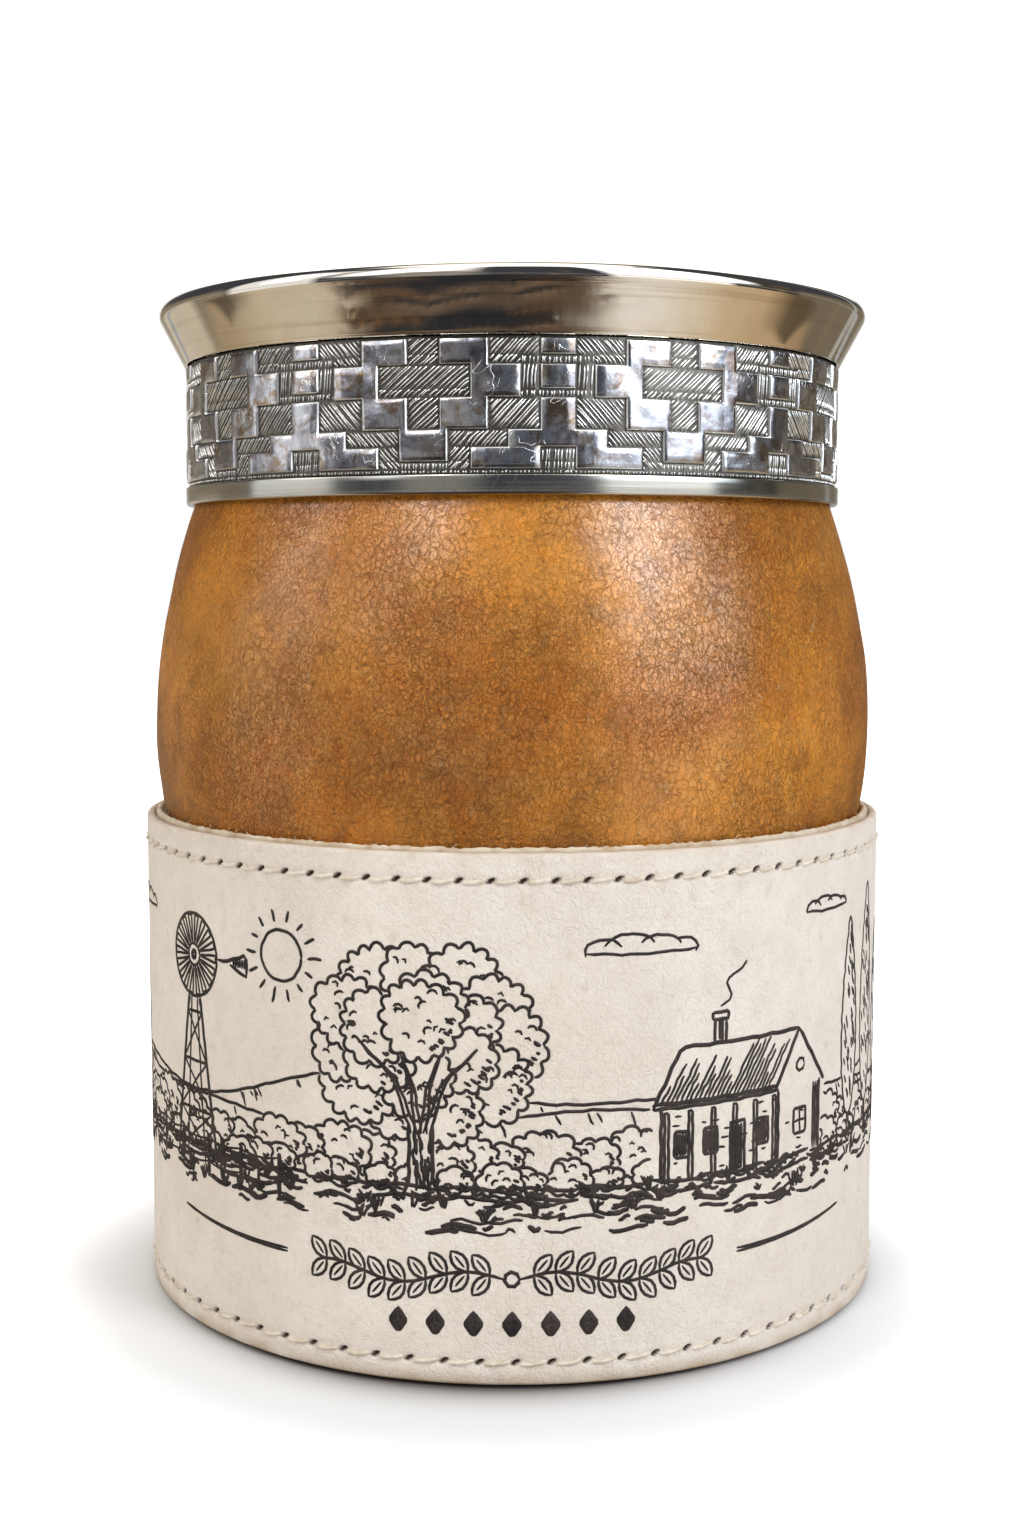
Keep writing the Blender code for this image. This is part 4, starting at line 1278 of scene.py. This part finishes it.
def makeLip():
    # A straight flare that turns into the bead and curls in over the wire.
    bead = np.array([sizes["lipRadius"] - ferruleShape["bead"], sizes["wireRing"]])
    foot = np.array([nodeBox("patterned_band")[1].x, sizes["flareFoot"]])
    reach = bead - foot
    lean = math.atan2(reach[1], reach[0]) - math.asin(ferruleShape["bead"] / np.hypot(*reach))
    touch = math.degrees(lean) - 90.0
    outer = np.concatenate(
        [
            roundCorner(bead[0], bead[1], ferruleShape["bead"], ferruleShape["curlEnd"], touch, 28),
            foot[None] + np.array([0.06, 0.1]),
            foot[None],
        ]
    )
    outer = spaced(outer, 0.35)
    inner = (outer - outwards(outer, False) * ferruleShape["sheet"])[::-1]
    profile = np.concatenate([outer, inner])

    def lift(angle, height, radius):
        return ferruleShape["wobble"] * waves(angle, height, 6, 60.0, 31) * (height - foot[1]) / 6.0

    obj = turnPiece("lipFlare", profile, evenAngles(ferruleShape["columns"]), lift)
    return dress(obj, finishes["silver"], "nickel_silver", "lip_flare")


def makeTrimRing():
    low, high = sizes["trimFoot"], sizes["bandFoot"] - 0.04
    outer, inner = sizes["trimRadius"], sizes["trimRadius"] - 0.7
    profile = np.concatenate(
        [
            roundCorner(outer - 0.12, high - 0.12, 0.12, 90, 0, 3),
            [(outer, low + 1.3), (outer - 0.02, low + 0.8)],
            roundCorner(outer - 0.32, low + 0.3, 0.3, 0, -90, 6),
            [(inner, low), (inner, high)],
        ]
    )

    def lift(angle, height, radius):
        return 0.03 * waves(angle, height, 14, 30.0, 41)

    obj = turnPiece("trimRing", profile, evenAngles(ferruleShape["columns"]), lift)
    return dress(obj, finishes["trim"], "nickel_silver", "trim_ring")


funnelShape = {"throat": 28.6, "drop": 9.9, "tube": 6.5, "power": 1.6}


def makeFunnel():
    # From the curl's end the radius falls as a power of the height to a straight throat.
    turn = math.radians(ferruleShape["curlEnd"])
    bead = sizes["lipRadius"] - ferruleShape["bead"]
    mouth = bead + (ferruleShape["bead"] + 0.3) * math.cos(turn)
    top = sizes["wireRing"] + (ferruleShape["bead"] + 0.3) * math.sin(turn)
    share = np.linspace(1, 0, 30)
    inside = np.stack(
        [
            funnelShape["throat"] + (mouth - funnelShape["throat"]) * share ** funnelShape["power"],
            top - funnelShape["drop"] * (1 - share),
        ],
        axis=-1,
    )
    end = (funnelShape["throat"], top - funnelShape["drop"] - funnelShape["tube"])
    inside = np.concatenate([inside, [end]])
    inside = spaced(inside, 0.8)
    outside = inside + outwards(inside, False) * ferruleShape["sheet"]
    profile = np.concatenate([outside, inside[::-1]])
    obj = turnPiece("funnelLiner", profile, evenAngles(ferruleShape["columns"]))
    return dress(obj, finishes["funnel"], "nickel_silver", "inner_funnel")


makeLip()
makeTrimRing()
makeFunnel()
print("ferrule: lip, trim ring and funnel")

# The chased band. A repeat is mirrored about its stepped cross. The edges give half of it
# in degrees, from the centre of a cross to the centre of a pyramid. Rows run from the top
# down with their heights. A raised plate is #, x is hatched like the cross, o leans away
# from the pyramid, v is upright and a dot is plain.
bandShape = {
    "repeats": 9,
    "firstPyramid": 6.8,
    "drift": 1.7,
    "relief": 0.35,
    "sheet": 0.6,
    "rows": (
        (0.25, "........"),
        (1.55, "x###ooo#"),
        (0.90, "x###oovv"),
        (2.30, "xxx###v#"),
        (0.80, "xxx###vv"),
        (3.00, "x###ooo#"),
        (1.65, "##ooo###"),
        (1.35, "##o####v"),
        (0.70, "vvo####v"),
        (0.50, "vvvvvvvv"),
    ),
    "edges": (0.0, 2.5, 3.7, 7.1, 9.7, 12.6, 14.5, 17.4, 20.0),
}


def bandAngle(degrees):
    # From degrees along the repeats to a place round the band: the phase, then a slow drift.
    turned = np.asarray(degrees, dtype=float) + bandShape["firstPyramid"] - 180.0 / bandShape["repeats"]
    return np.radians(turned + bandShape["drift"] * np.sin(np.radians(turned)))


def bandCells():
    # Column edges in degrees all the way round, row levels, and the letter of every cell.
    half = np.array(bandShape["edges"])
    repeat = 360.0 / bandShape["repeats"]
    oneRepeat = np.concatenate([-half[:0:-1], half[:-1]])
    columns = (oneRepeat[None, :] + repeat * np.arange(bandShape["repeats"])[:, None]).ravel()
    columns = np.append(columns, columns[0] + 360.0)
    letters = [[*text[::-1], *text] * bandShape["repeats"] for _, text in bandShape["rows"]]
    heights = np.array([height for height, _ in bandShape["rows"]])
    span = sizes["bandTop"] - sizes["bandFoot"]
    levels = sizes["bandTop"] - np.concatenate([[0], np.cumsum(heights)]) * span / heights.sum()
    return columns, levels, np.array(letters)


sizes["bandTop"] += 0.26  # solder fills the CAD clearance under the flare
bandColumns, bandLevels, bandLetters = bandCells()
bandGround = nodeBox("patterned_band")[1].x - bandShape["relief"]


def isPlate(degrees, height):  # whether a place on the band lies in a raised cell
    start = bandColumns[0]
    column = np.searchsorted(bandColumns, (degrees - start) % 360.0 + start, side="right") - 1
    row = np.clip(np.searchsorted(-bandLevels, -height, side="right") - 1, 0, len(bandLetters) - 1)
    return bandLetters[row, np.clip(column, 0, bandLetters.shape[1] - 1)] == "#"


def makeBand():
    # The outer face is a grid with lines on both sides of every edge. A point's height is
    # set by how far it is from the nearest edge: outside a plate it dips into a chased line,
    # then the bevel climbs in two steps to the face.
    perDegree = math.radians(1) * bandGround
    offsets = np.array([-0.16, -0.07, 0.0, 0.07, 0.16])
    edgeColumns = (bandColumns[:-1, None] + offsets[None, :] / perDegree).ravel()
    fill = np.arange(bandColumns[0], bandColumns[0] + 360.0, 1.0)
    clear = np.abs(fill[:, None] - edgeColumns[None, :]).min(axis=1) > 0.35
    degrees = np.unique(np.round(np.concatenate([edgeColumns, fill[clear]]), 5))
    degrees = degrees[degrees < degrees[0] + 360.0 - 1e-4]
    edgeRows = (bandLevels[1:-1, None] + offsets[None, :]).ravel()
    fillRows = np.arange(sizes["bandFoot"] + 0.3, sizes["bandTop"] - 0.2, 0.55)
    clear = np.abs(fillRows[:, None] - edgeRows[None, :]).min(axis=1) > 0.2
    heights = np.unique(np.round(np.concatenate([edgeRows, fillRows[clear]]), 4))
    heights = heights[(heights > sizes["bandFoot"] + 0.1) & (heights < sizes["bandTop"] - 0.1)]
    heights = np.concatenate([[sizes["bandTop"] - 0.03], heights[::-1], [sizes["bandFoot"] + 0.03]])

    degreeGrid, heightGrid = np.meshgrid(degrees, heights)
    relief = np.zeros(degreeGrid.shape)
    share = np.zeros(degreeGrid.shape)
    around = [(a, b) for a in (-1, 1) for b in (-1, 1)]

    def sampled(reach):  # whether the four points at this reach lie on plates
        return [isPlate(degreeGrid + a * reach / perDegree, heightGrid + b * reach) for a, b in around]

    outside = ~np.all(sampled(0.02), axis=0)
    relief[np.any(sampled(0.1), axis=0) & outside] = -0.06
    relief[np.any(sampled(0.02), axis=0) & outside] = 0.0
    inside, onTop = np.all(sampled(0.05), axis=0), np.all(sampled(0.14), axis=0)
    relief[inside] = 0.24
    relief[onTop] = bandShape["relief"]
    share[inside] = 0.6
    share[onTop] = 1.0
    rim = np.where(inside & ~onTop, 1.0, 0.0)
    angle = bandAngle(degreeGrid)
    hammered = 0.035 * waves(angle, heightGrid, 60, 5.0, 51, 30)
    hammered += 0.02 * waves(angle, heightGrid, 160, 2.2, 52, 30)
    relief = relief + np.where(onTop, hammered - 0.05, 0.3 * hammered)
    outer = onAxis(bandGround + relief, angle, heightGrid)
    inner, edge = bandGround - bandShape["sheet"], bandGround - 0.1
    low, high = sizes["bandFoot"], sizes["bandTop"]
    rings = ((edge, low), (inner, low), (inner, high), (edge, high))
    back = [onAxis(radius, angle[0], height) for radius, height in rings]
    points = np.concatenate([outer, np.stack(back)])
    blank = np.zeros((4, len(degrees)))
    masks = {"plate": np.concatenate([share, blank]), "rim": np.concatenate([rim, blank])}
    obj = makeMesh("bandPlates", points, [wrapGrid(len(points), len(degrees), True)], masks)
    return dress(obj, finishes["chased"], "chased_silver", "patterned_band")


hatchShape = {"width": 0.22, "height": 0.12, "cross": 0.37, "slant": 0.34, "upright": 0.37, "sections": 5}


def hatchLines(low, high, lean, pitch, draw):
    # Parallel strokes across a box, clipped to it: each lies at a fixed distance from the
    # origin along the stroke's normal, and runs between where it enters and leaves.
    along = np.array([math.cos(lean), math.sin(lean)])
    aside = np.array([-along[1], along[0]])
    corners = np.array([(x, y) for x in (low[0], high[0]) for y in (low[1], high[1])]) @ aside
    index = np.arange(math.ceil(corners.min() / pitch), math.floor(corners.max() / pitch) + 1)
    if not len(index):
        return np.zeros((0, 2, 2))
    offsets = pitch * (index + 0.17 * np.sin(2.4 * index) + 0.1 * np.sin(5.3 * index))
    starts = aside[None, :] * offsets[:, None]
    safe = np.where(np.abs(along) < 1e-6, 1e-6, along)
    first = (low[None, :] - starts) / safe
    second = (high[None, :] - starts) / safe
    enter = np.minimum(first, second).max(axis=1)
    leave = np.maximum(first, second).min(axis=1)
    keep = leave - enter > 0.25
    enter, leave, starts = enter[keep], leave[keep], starts[keep]
    leave = leave - np.abs(draw.normal(size=len(leave))) * 0.06
    return np.stack([starts + enter[:, None] * along, starts + leave[:, None] * along], axis=1)


def makeHatching():
    # Every ground cell gets its strokes, as small ridges that taper to both ends.
    draw = np.random.default_rng(61)
    perDegree = math.radians(1) * bandGround
    strokes = []
    half = len(bandShape["edges"]) - 1
    for row, letters in enumerate(bandLetters):
        sides = np.where(np.arange(len(letters)) % (2 * half) >= half, 1, -1)
        kinds = [(letter, side) if letter == "o" else letter for letter, side in zip(letters, sides)]
        starts = [i for i in range(len(kinds)) if i == 0 or kinds[i] != kinds[i - 1]]
        for first, after in zip(starts, starts[1:] + [len(kinds)]):  # a run of like cells
            letter, side = letters[first], sides[first]
            if letter in "#.":
                continue
            left, right = letters[first - 1], letters[after % len(letters)]
            above = set(bandLetters[max(row - 1, 0), first:after])
            below = set(bandLetters[min(row + 1, len(bandLetters) - 1), first:after])
            margins = [0.13 if "#" in other else 0.0 for other in (left, right, below, above)]
            low = np.array([bandColumns[first] * perDegree + margins[0], bandLevels[row + 1] + margins[2]])
            high = np.array([bandColumns[after] * perDegree - margins[1], bandLevels[row] - margins[3]])
            if row == len(bandLetters) - 1:
                low[1] += 0.12
            lean, pitch = {
                "x": (0.72, hatchShape["cross"]),
                "o": (side * 0.85, hatchShape["slant"]),
                "v": (1.5, hatchShape["upright"]),
            }[letter]
            strokes.append(hatchLines(low, high, lean, pitch, draw))
    strokes = np.concatenate(strokes)
    share = np.linspace(0, 1, hatchShape["sections"])
    middle = strokes[:, :1] + (strokes[:, 1:] - strokes[:, :1]) * share[None, :, None]
    lengths = np.linalg.norm(strokes[:, 1] - strokes[:, 0], axis=1)
    along = (strokes[:, 1] - strokes[:, 0]) / lengths[:, None]
    aside = np.stack([-along[:, 1], along[:, 0]], axis=-1)
    bow = draw.normal(size=len(strokes))[:, None] * 0.05 * np.sin(math.pi * share)[None, :]
    middle = middle + bow[..., None] * aside[:, None, :]
    swell = np.clip(np.sin(math.pi * (0.1 + 0.8 * share)), 0, 1) ** 0.35
    width = hatchShape["width"] / 2 * swell[None, :] * draw.uniform(0.7, 1.15, (len(strokes), 1))
    crest = hatchShape["height"] * swell[None, :] * draw.uniform(0.7, 1.1, (len(strokes), 1))
    across = np.array([-1.0, -0.5, 0.5, 1.0])
    rise = np.array([0.0, 1.0, 1.0, 0.0])
    wide = across[None, None, :, None] * width[:, :, None, None]
    flat = middle[:, :, None, :] + wide * aside[:, None, None, :]
    radius = bandGround - 0.05 + rise[None, None, :] * (crest[:, :, None] + 0.05)
    points = onAxis(radius, bandAngle(flat[..., 0] / perDegree), flat[..., 1])
    faces = [face[:, [0, 3, 2, 1]] for face in tubeFaces(len(strokes), len(share), len(rise))]
    crests = np.broadcast_to(rise, points.shape[:3])
    obj = makeMesh("bandHatching", points, faces, {"crest": crests})
    print("band: strokes", len(strokes))
    return dress(obj, finishes["hatch"], "chased_silver")


makeBand()
makeHatching()
print("ferrule: chased band")

# The sole, the gourd's wall and the pieces that stay as the frame has them
def makeSole():
    outer, top = sizes["soleRadius"], sizes["soleTop"]
    profile = np.concatenate(
        [
            [(0.0, top), (outer - 8.0, top)],
            roundCorner(outer - 0.15, top - 0.15, 0.15, 90, 0, 3),
            roundCorner(outer - 0.4, 0.4, 0.4, 0, -90, 4),
            [(outer - 8.0, 0.0), (0.0, 0.0)],
        ]
    )

    def lift(angle, height, radius):
        rough = -0.03 + 0.03 * waves(angle, height, 80, 2.0, 71)
        return np.where((radius > outer - 1.0) & (height > 0.1), rough, 0.0)

    obj = turnPiece("soleDisc", profile, evenAngles(240), lift, closed=False, poles=True)
    return dress(obj, finishes["sole"], "sole_leather", "outsole")


gourdShape = {"wall": 4.4, "neckTop": nodeBox("gourd_shell")[1].z, "grooves": 0.25}


def makeGourd():
    # The cover's line moved in by its leather and a gap, then a wall. The inside is rough.
    neck = sizes["neckRadius"]
    levels = np.linspace(coverLevels["neck"], coverLevels["foot"] + 0.6, 60)
    side = np.stack([coverRadius(levels), levels], axis=-1)
    collar = [(neck, gourdShape["neckTop"]), (neck, coverLevels["neck"] + 1.2)]
    line = np.concatenate([collar, side, [(0.0, coverLevels["foot"])]])
    normals = outwards(line, False)
    normals[0] = (1.0, 0.0)
    normals[-1] = (0.0, -1.0)
    outer = line - normals * (coverShape["wall"] + 0.3)
    inner = outer - normals * gourdShape["wall"]
    outer[-1, 0] = inner[-1, 0] = 0.0
    profile = np.concatenate([inner[::-1], outer])
    count = len(inner)

    def lift(angle, height, radius):
        inside = (np.arange(len(profile)) < count - 2)[:, None] & (radius > 0.5)
        rough = waves(angle, height, 30, 12.0, 81) + 0.5 * waves(angle, height, 90, 4.0, 82)
        return np.where(inside, gourdShape["grooves"] * rough, 0.0)

    obj = turnPiece("gourdWall", profile, evenAngles(300), lift, closed=False, poles=True)
    return dress(obj, finishes["gourd"], "dried_gourd", "gourd_shell")


makeSole()
makeGourd()
stayingNodes = {
    "base_board": "board",
    "seat_pad": "cork",
    "cover_base_disc": "tan",
    "cover_base_thread": "thread",
    "rim_wire": "wire",
    "setting_cement": "cement",
}
for nodeName, finish in stayingNodes.items():  # their shapes are right, so they keep their meshes
    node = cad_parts[nodeName]
    node.data.materials.clear()
    node.data.materials.append(finishes[finish])
print("inside: sole, gourd and staying nodes")

# Floor, lamps and what the metal mirrors
studio = {
    "floorWidth": 6.0,
    "paintedShadowReach": (0.034, 0.0435),
    "glowReach": (0.041, 0.07),
    "shadeShift": (0.001, 0.008, 0.0),
    "skyLight": 0.54,
    "skyLeft": (0.93, 0.865, 0.77),
    "skyRight": (0.95, 1.03, 1.17),
    "lampDistance": 0.7,
}
# Each lamp's azimuth and elevation in degrees, its size in metres, its watts and its colour.
lamps = {
    "keyLamp": (46.0, 38.0, (0.2, 0.42), 2.06, (0.955, 0.98, 1.0)),
    "fillLamp": (-76.0, 32.0, (0.18, 0.4), 0.7, (1.0, 0.955, 0.89)),
    "frontLamp": (-31.0, 40.0, (0.12, 0.2), 0.6, (1.0, 1.0, 1.0)),
    "topLamp": (8.0, 80.0, (0.5, 0.5), 1.0, (1.0, 1.0, 1.0)),
    "backLamp": (176.0, 34.0, (0.5, 0.4), 1.0, (1.0, 1.0, 1.0)),
}


def glowSheet(name, points, faces, colors):
    # A sheet that glows in its points' own colours and is seen in mirrors only.
    obj = makeMesh(name, points, [faces])
    layer = obj.data.attributes.new("tint", "FLOAT_COLOR", "POINT")
    shades = np.concatenate([colors, np.ones((len(colors), 1))], axis=1)
    layer.data.foreach_set("color", shades.astype(np.float32).ravel())
    material = bpy.data.materials.new(name)
    material.use_nodes = True
    tree = material.node_tree
    tree.nodes.remove(tree.nodes["Principled BSDF"])
    tint = addNode(tree, "Attribute", _attribute_name="tint")
    glow = addNode(tree, "Emission", Color=tint.outputs["Color"], Strength=1.0)
    tree.links.new(glow.outputs[0], tree.nodes["Material Output"].inputs["Surface"])
    obj.data.materials.append(material)
    obj.visible_camera = False
    obj.visible_diffuse = False
    obj.visible_shadow = False


def between(value, low, high, soft):  # 1 inside the range, 0 outside, with soft sides
    return np.clip((value - low) / soft + 0.5, 0, 1) * np.clip((high - value) / soft + 0.5, 0, 1)


def layered(base, *layers):  # each layer is a mask and the colour that it lays over the rest
    shades = np.broadcast_to(np.array(base), (*layers[0][0].shape, 3)).copy()
    for mask, tint in layers:
        shades += mask[..., None] * (np.array(tint) - shades)
    return shades


def roomShades(turn, up):
    # Softboxes to the right and left, a dark room in front, pale walls low at the sides with
    # darkness above them, and a lit ceiling. Angles are in degrees.
    flow = np.sin(np.radians(turn) * 9) + 0.6 * np.sin(np.radians(turn) * 23 + 1.7)
    flow += 0.5 * np.sin(np.radians(turn) * 41 + up / 9)
    low = between(up, -200, 13, 8)
    return layered(
        (0.06, 0.066, 0.085),
        (low * between(turn, -190, -99, 6), (0.30, 0.26, 0.20)),
        (low * between(turn, 99, 190, 6), (0.22, 0.185, 0.135)),
        (between(up, -9, 1.5, 2) * between(turn, -190, -120, 6), (0.68, 0.61, 0.5)),
        (0.6 * between(turn, 158, 190, 10) + between(turn, -190, -158, 10), (0.62, 0.58, 0.52)),
        (between(turn, 72, 99, 4), (0.075, 0.065, 0.055)),
        (0.5 * np.clip(flow - 0.9, 0, 1) * between(up, -90, 24, 5), (0.30, 0.22, 0.16)),
        (between(turn, -97, -62, 4) * between(up, -90, 56, 4), (1.12, 1.13, 1.17)),
        (between(turn, -54, -16, 14) * between(up, 14, 62, 12), (2.5, 2.5, 2.65)),
        (between(turn, 30, 71, 4) * between(up, -90, 66, 5), (1.45, 1.45, 1.5)),
        (between(turn, 34, 76, 16) * between(up, 9, 66, 14), (4.9, 5.5, 6.3)),
        (between(turn, -38, -12, 12) * between(up, -30, 26, 12), (0.36, 0.345, 0.33)),
        (between(turn, 139, 143, 2) * between(up, -20, 45, 5), (0.5, 0.49, 0.47)),
        (between(up, 68, 100, 8), (0.9, 0.9, 0.92)),
    )


def sheetFaces(rows, columns):  # the squares of an open grid
    row, column = np.arange(rows - 1)[:, None], np.arange(columns - 1)[None, :]
    first = row * columns + column
    return np.stack([first, first + 1, first + columns + 1, first + columns], axis=-1).reshape(-1, 4)


def makeMirroredRoom():
    # A dome round the table: the point at an azimuth and an elevation is that direction
    # times one distance.
    turn, up = np.meshgrid(np.linspace(-180, 180, 361), np.linspace(-1.0, 89.0, 91))
    azimuth, rise = np.radians(turn), np.radians(up)
    distance = 1100.0
    points = onAxis(distance * np.cos(rise), azimuth, distance * np.sin(rise) + 60.0)
    glowSheet("mirroredRoom", points, sheetFaces(91, 361), roomShades(turn, up).reshape(-1, 3))


# What the flare shows of the table, by the azimuth of the place on the table in degrees, and
# how far from the axis that place is.
flareShows = {
    -180: (150, 138, 118),
    -150: (196, 183, 163),
    -127: (150, 132, 106),
    -109: (158, 136, 106),
    -85: (190, 171, 144),
    -66: (192, 176, 152),
    -56: (176, 156, 128),
    -54: (60, 54, 48),
    -35: (44, 44, 46),
    0: (38, 38, 39),
    22: (46, 42, 38),
    27: (60, 52, 45),
    30: (206, 192, 172),
    41: (226, 217, 203),
    56: (216, 200, 176),
    73: (192, 166, 130),
    95: (178, 149, 111),
    112: (150, 124, 92),
    119: (92, 76, 58),
    138: (84, 68, 50),
    142: (132, 113, 88),
    152: (150, 128, 98),
    180: (120, 104, 84),
}
flareReach = {0: 128.0, 27: 133.0, 54: 151.0, 79: 186.0, 104: 257.0, 127: 439.0, 150: 1600.0, 180: 2000.0}


def makeMirroredTable():
    # The table takes the colours that the flare is to show, over the flare's own colour.
    # Each row of the flare mirrors its own share of the distance. The azimuth is shifted by
    # a sum of sines of that share, which draws the edges of the dark out into fingers.
    # Far from the mate the table takes the shades of the room above it.
    rings = ((42, 120, 20), (122, 175, 90), (177, 330, 60), (340, 1110, 50))
    distances = np.concatenate([np.linspace(*ring) for ring in rings])
    turn, reach = np.meshgrid(np.linspace(-180, 180, 361), distances)
    share = reach / np.interp(np.abs(turn), list(flareReach), list(flareReach.values()))
    draw = np.random.default_rng(7)
    waver = np.zeros((3, *turn.shape))
    for pitch, size in ((0.011, 2.4), (0.017, 3.0), (0.029, 3.4), (0.052, 3.6), (0.09, 3.0)):
        for edge in waver:
            edge += size * np.sin(fullTurn * share / pitch + draw.uniform(0, fullTurn))
    seen = turn - np.where(turn < 0, waver[0], waver[1]) * np.clip((80 - np.abs(turn)) / 30, 0, 1)
    shown = np.array([shade(*tint)[:3] for tint in flareShows.values()]) / np.array(shade(222, 214, 200)[:3])
    table = np.stack([np.interp(seen, list(flareShows), shown[:, i]) for i in range(3)], axis=-1)
    ember = between(seen, -54, -30, 6) + 0.7 * between(seen, 0, 27, 6)
    ember *= np.clip((waver[2] - 2.0) / 2.0, 0, 1)
    table += 0.55 * ember[..., None] * (np.array([0.42, 0.22, 0.09]) - table)
    # Brown streaks in the dark part's first and last rows, and a dark line under the bead.
    rows = between(share, 1.046, 1.09, 0.02) + between(share, 0.9, 1.004, 0.01)
    streaks = 0.8 * rows * np.clip(0.55 + 0.2 * waver[2], 0, 1) * between(seen, -38, 26, 10)
    table += streaks[..., None] * (np.array([0.26, 0.18, 0.125]) - table)
    table *= 1 - (0.7 * between(share, 1.05, 9, 0.02) * between(np.abs(turn), 94, 136, 12))[..., None]
    far = between(reach, 340, 9000, 60)[..., None]
    table = table + far * (roomShades(turn, np.full(turn.shape, -5.0)) - table)
    points = onAxis(reach, np.radians(turn), 0.4)
    glowSheet("mirroredTable", points, sheetFaces(*turn.shape), table.reshape(-1, 3))


def makeFloor():
    half = studio["floorWidth"] * 500
    corners = [(-half, -half, 0), (half, -half, 0), (half, half, 0), (-half, half, 0)]
    obj = makeMesh("floor", corners, [np.array([[0, 1, 2, 3]])])
    material, tree, inputs, place = newMaterial("floor")
    inputs["Roughness"].default_value = 0.95
    inputs["Specular IOR Level"].default_value = 0.0
    path = tree.nodes.new("ShaderNodeLightPath").outputs
    seen = mathNode(tree, "MAXIMUM", path["Is Camera Ray"], path["Is Transmission Ray"])
    inputs["Emission Color"].default_value = (1.0, 1.0, 1.0, 1.0)
    # Painted shadow: the floor's colour darkens round the foot, a little to the front. At the foot's front
    # edge it is darkest and falls off with the third power of the distance.
    moved = addNode(tree, "VectorMath", _operation="ADD", i0=place, i1=studio["shadeShift"]).outputs[0]
    away = addNode(tree, "VectorMath", _operation="LENGTH", i0=moved).outputs["Value"]
    start, end = studio["paintedShadowReach"]
    closed = addNode(tree, "MapRange", i0=away, i1=start, i2=end, i3=1.0, i4=0.0).outputs[0]
    closed = mathNode(tree, "POWER", closed, 3.0)
    color = mixColors(tree, closed, (0.845, 0.845, 0.845, 1.0), (0.2, 0.18, 0.17, 1.0))
    tree.links.new(color, inputs["Base Color"])
    glow = rampNode(tree, away, *studio["glowReach"])
    tree.links.new(product(tree, seen, glow), inputs["Emission Strength"])
    obj.data.materials.append(material)


def makeWorld():
    world = bpy.data.worlds.new("studio")
    scene.world = world
    world.use_nodes = True
    tree = world.node_tree
    path = tree.nodes.new("ShaderNodeLightPath").outputs
    seen = mathNode(tree, "MAXIMUM", path["Is Camera Ray"], path["Is Transmission Ray"])
    seen = mathNode(tree, "MAXIMUM", seen, path["Is Glossy Ray"])
    strength = addNode(tree, "MapRange", i0=seen, i3=studio["skyLight"], i4=1.0)
    background = tree.nodes["Background"]
    # What lights the object is warmer from the left and cooler from the right. What the camera
    # and the mirrors see stays white.
    direction = tree.nodes.new("ShaderNodeTexCoord").outputs["Generated"]
    way = addNode(tree, "SeparateXYZ", Vector=direction).outputs["X"]
    side = addNode(tree, "MapRange", i0=way, i1=-0.8, i2=0.8).outputs[0]
    tint = mixColors(tree, side, (*studio["skyLeft"], 1.0), (*studio["skyRight"], 1.0))
    tree.links.new(mixColors(tree, seen, tint, (1.0, 1.0, 1.0, 1.0)), background.inputs["Color"])
    tree.links.new(strength.outputs[0], background.inputs["Strength"])


def addLamp(name, azimuth, elevation, size, watts, color):
    # The lamp faces the mate from its azimuth and elevation, at the lamps' common distance.
    data = bpy.data.lights.new(name, "AREA")
    data.shape = "RECTANGLE"
    data.size, data.size_y = size
    data.energy = watts
    data.color = color
    lamp = bpy.data.objects.new(name, data)
    turn, rise = math.radians(azimuth), math.radians(elevation)
    away = Vector((math.sin(turn) * math.cos(rise), -math.cos(turn) * math.cos(rise), math.sin(rise)))
    lamp.location = away * studio["lampDistance"] + Vector((0, 0, 0.07))
    lamp.rotation_euler = away.to_track_quat("Z", "Y").to_euler()
    scene.collection.objects.link(lamp)


makeFloor()
makeWorld()
makeMirroredRoom()
makeMirroredTable()
for lampName, facts in lamps.items():
    addLamp(lampName, *facts)
print("studio: floor, lamps and mirrored room")

scene.view_settings.view_transform = "Standard"
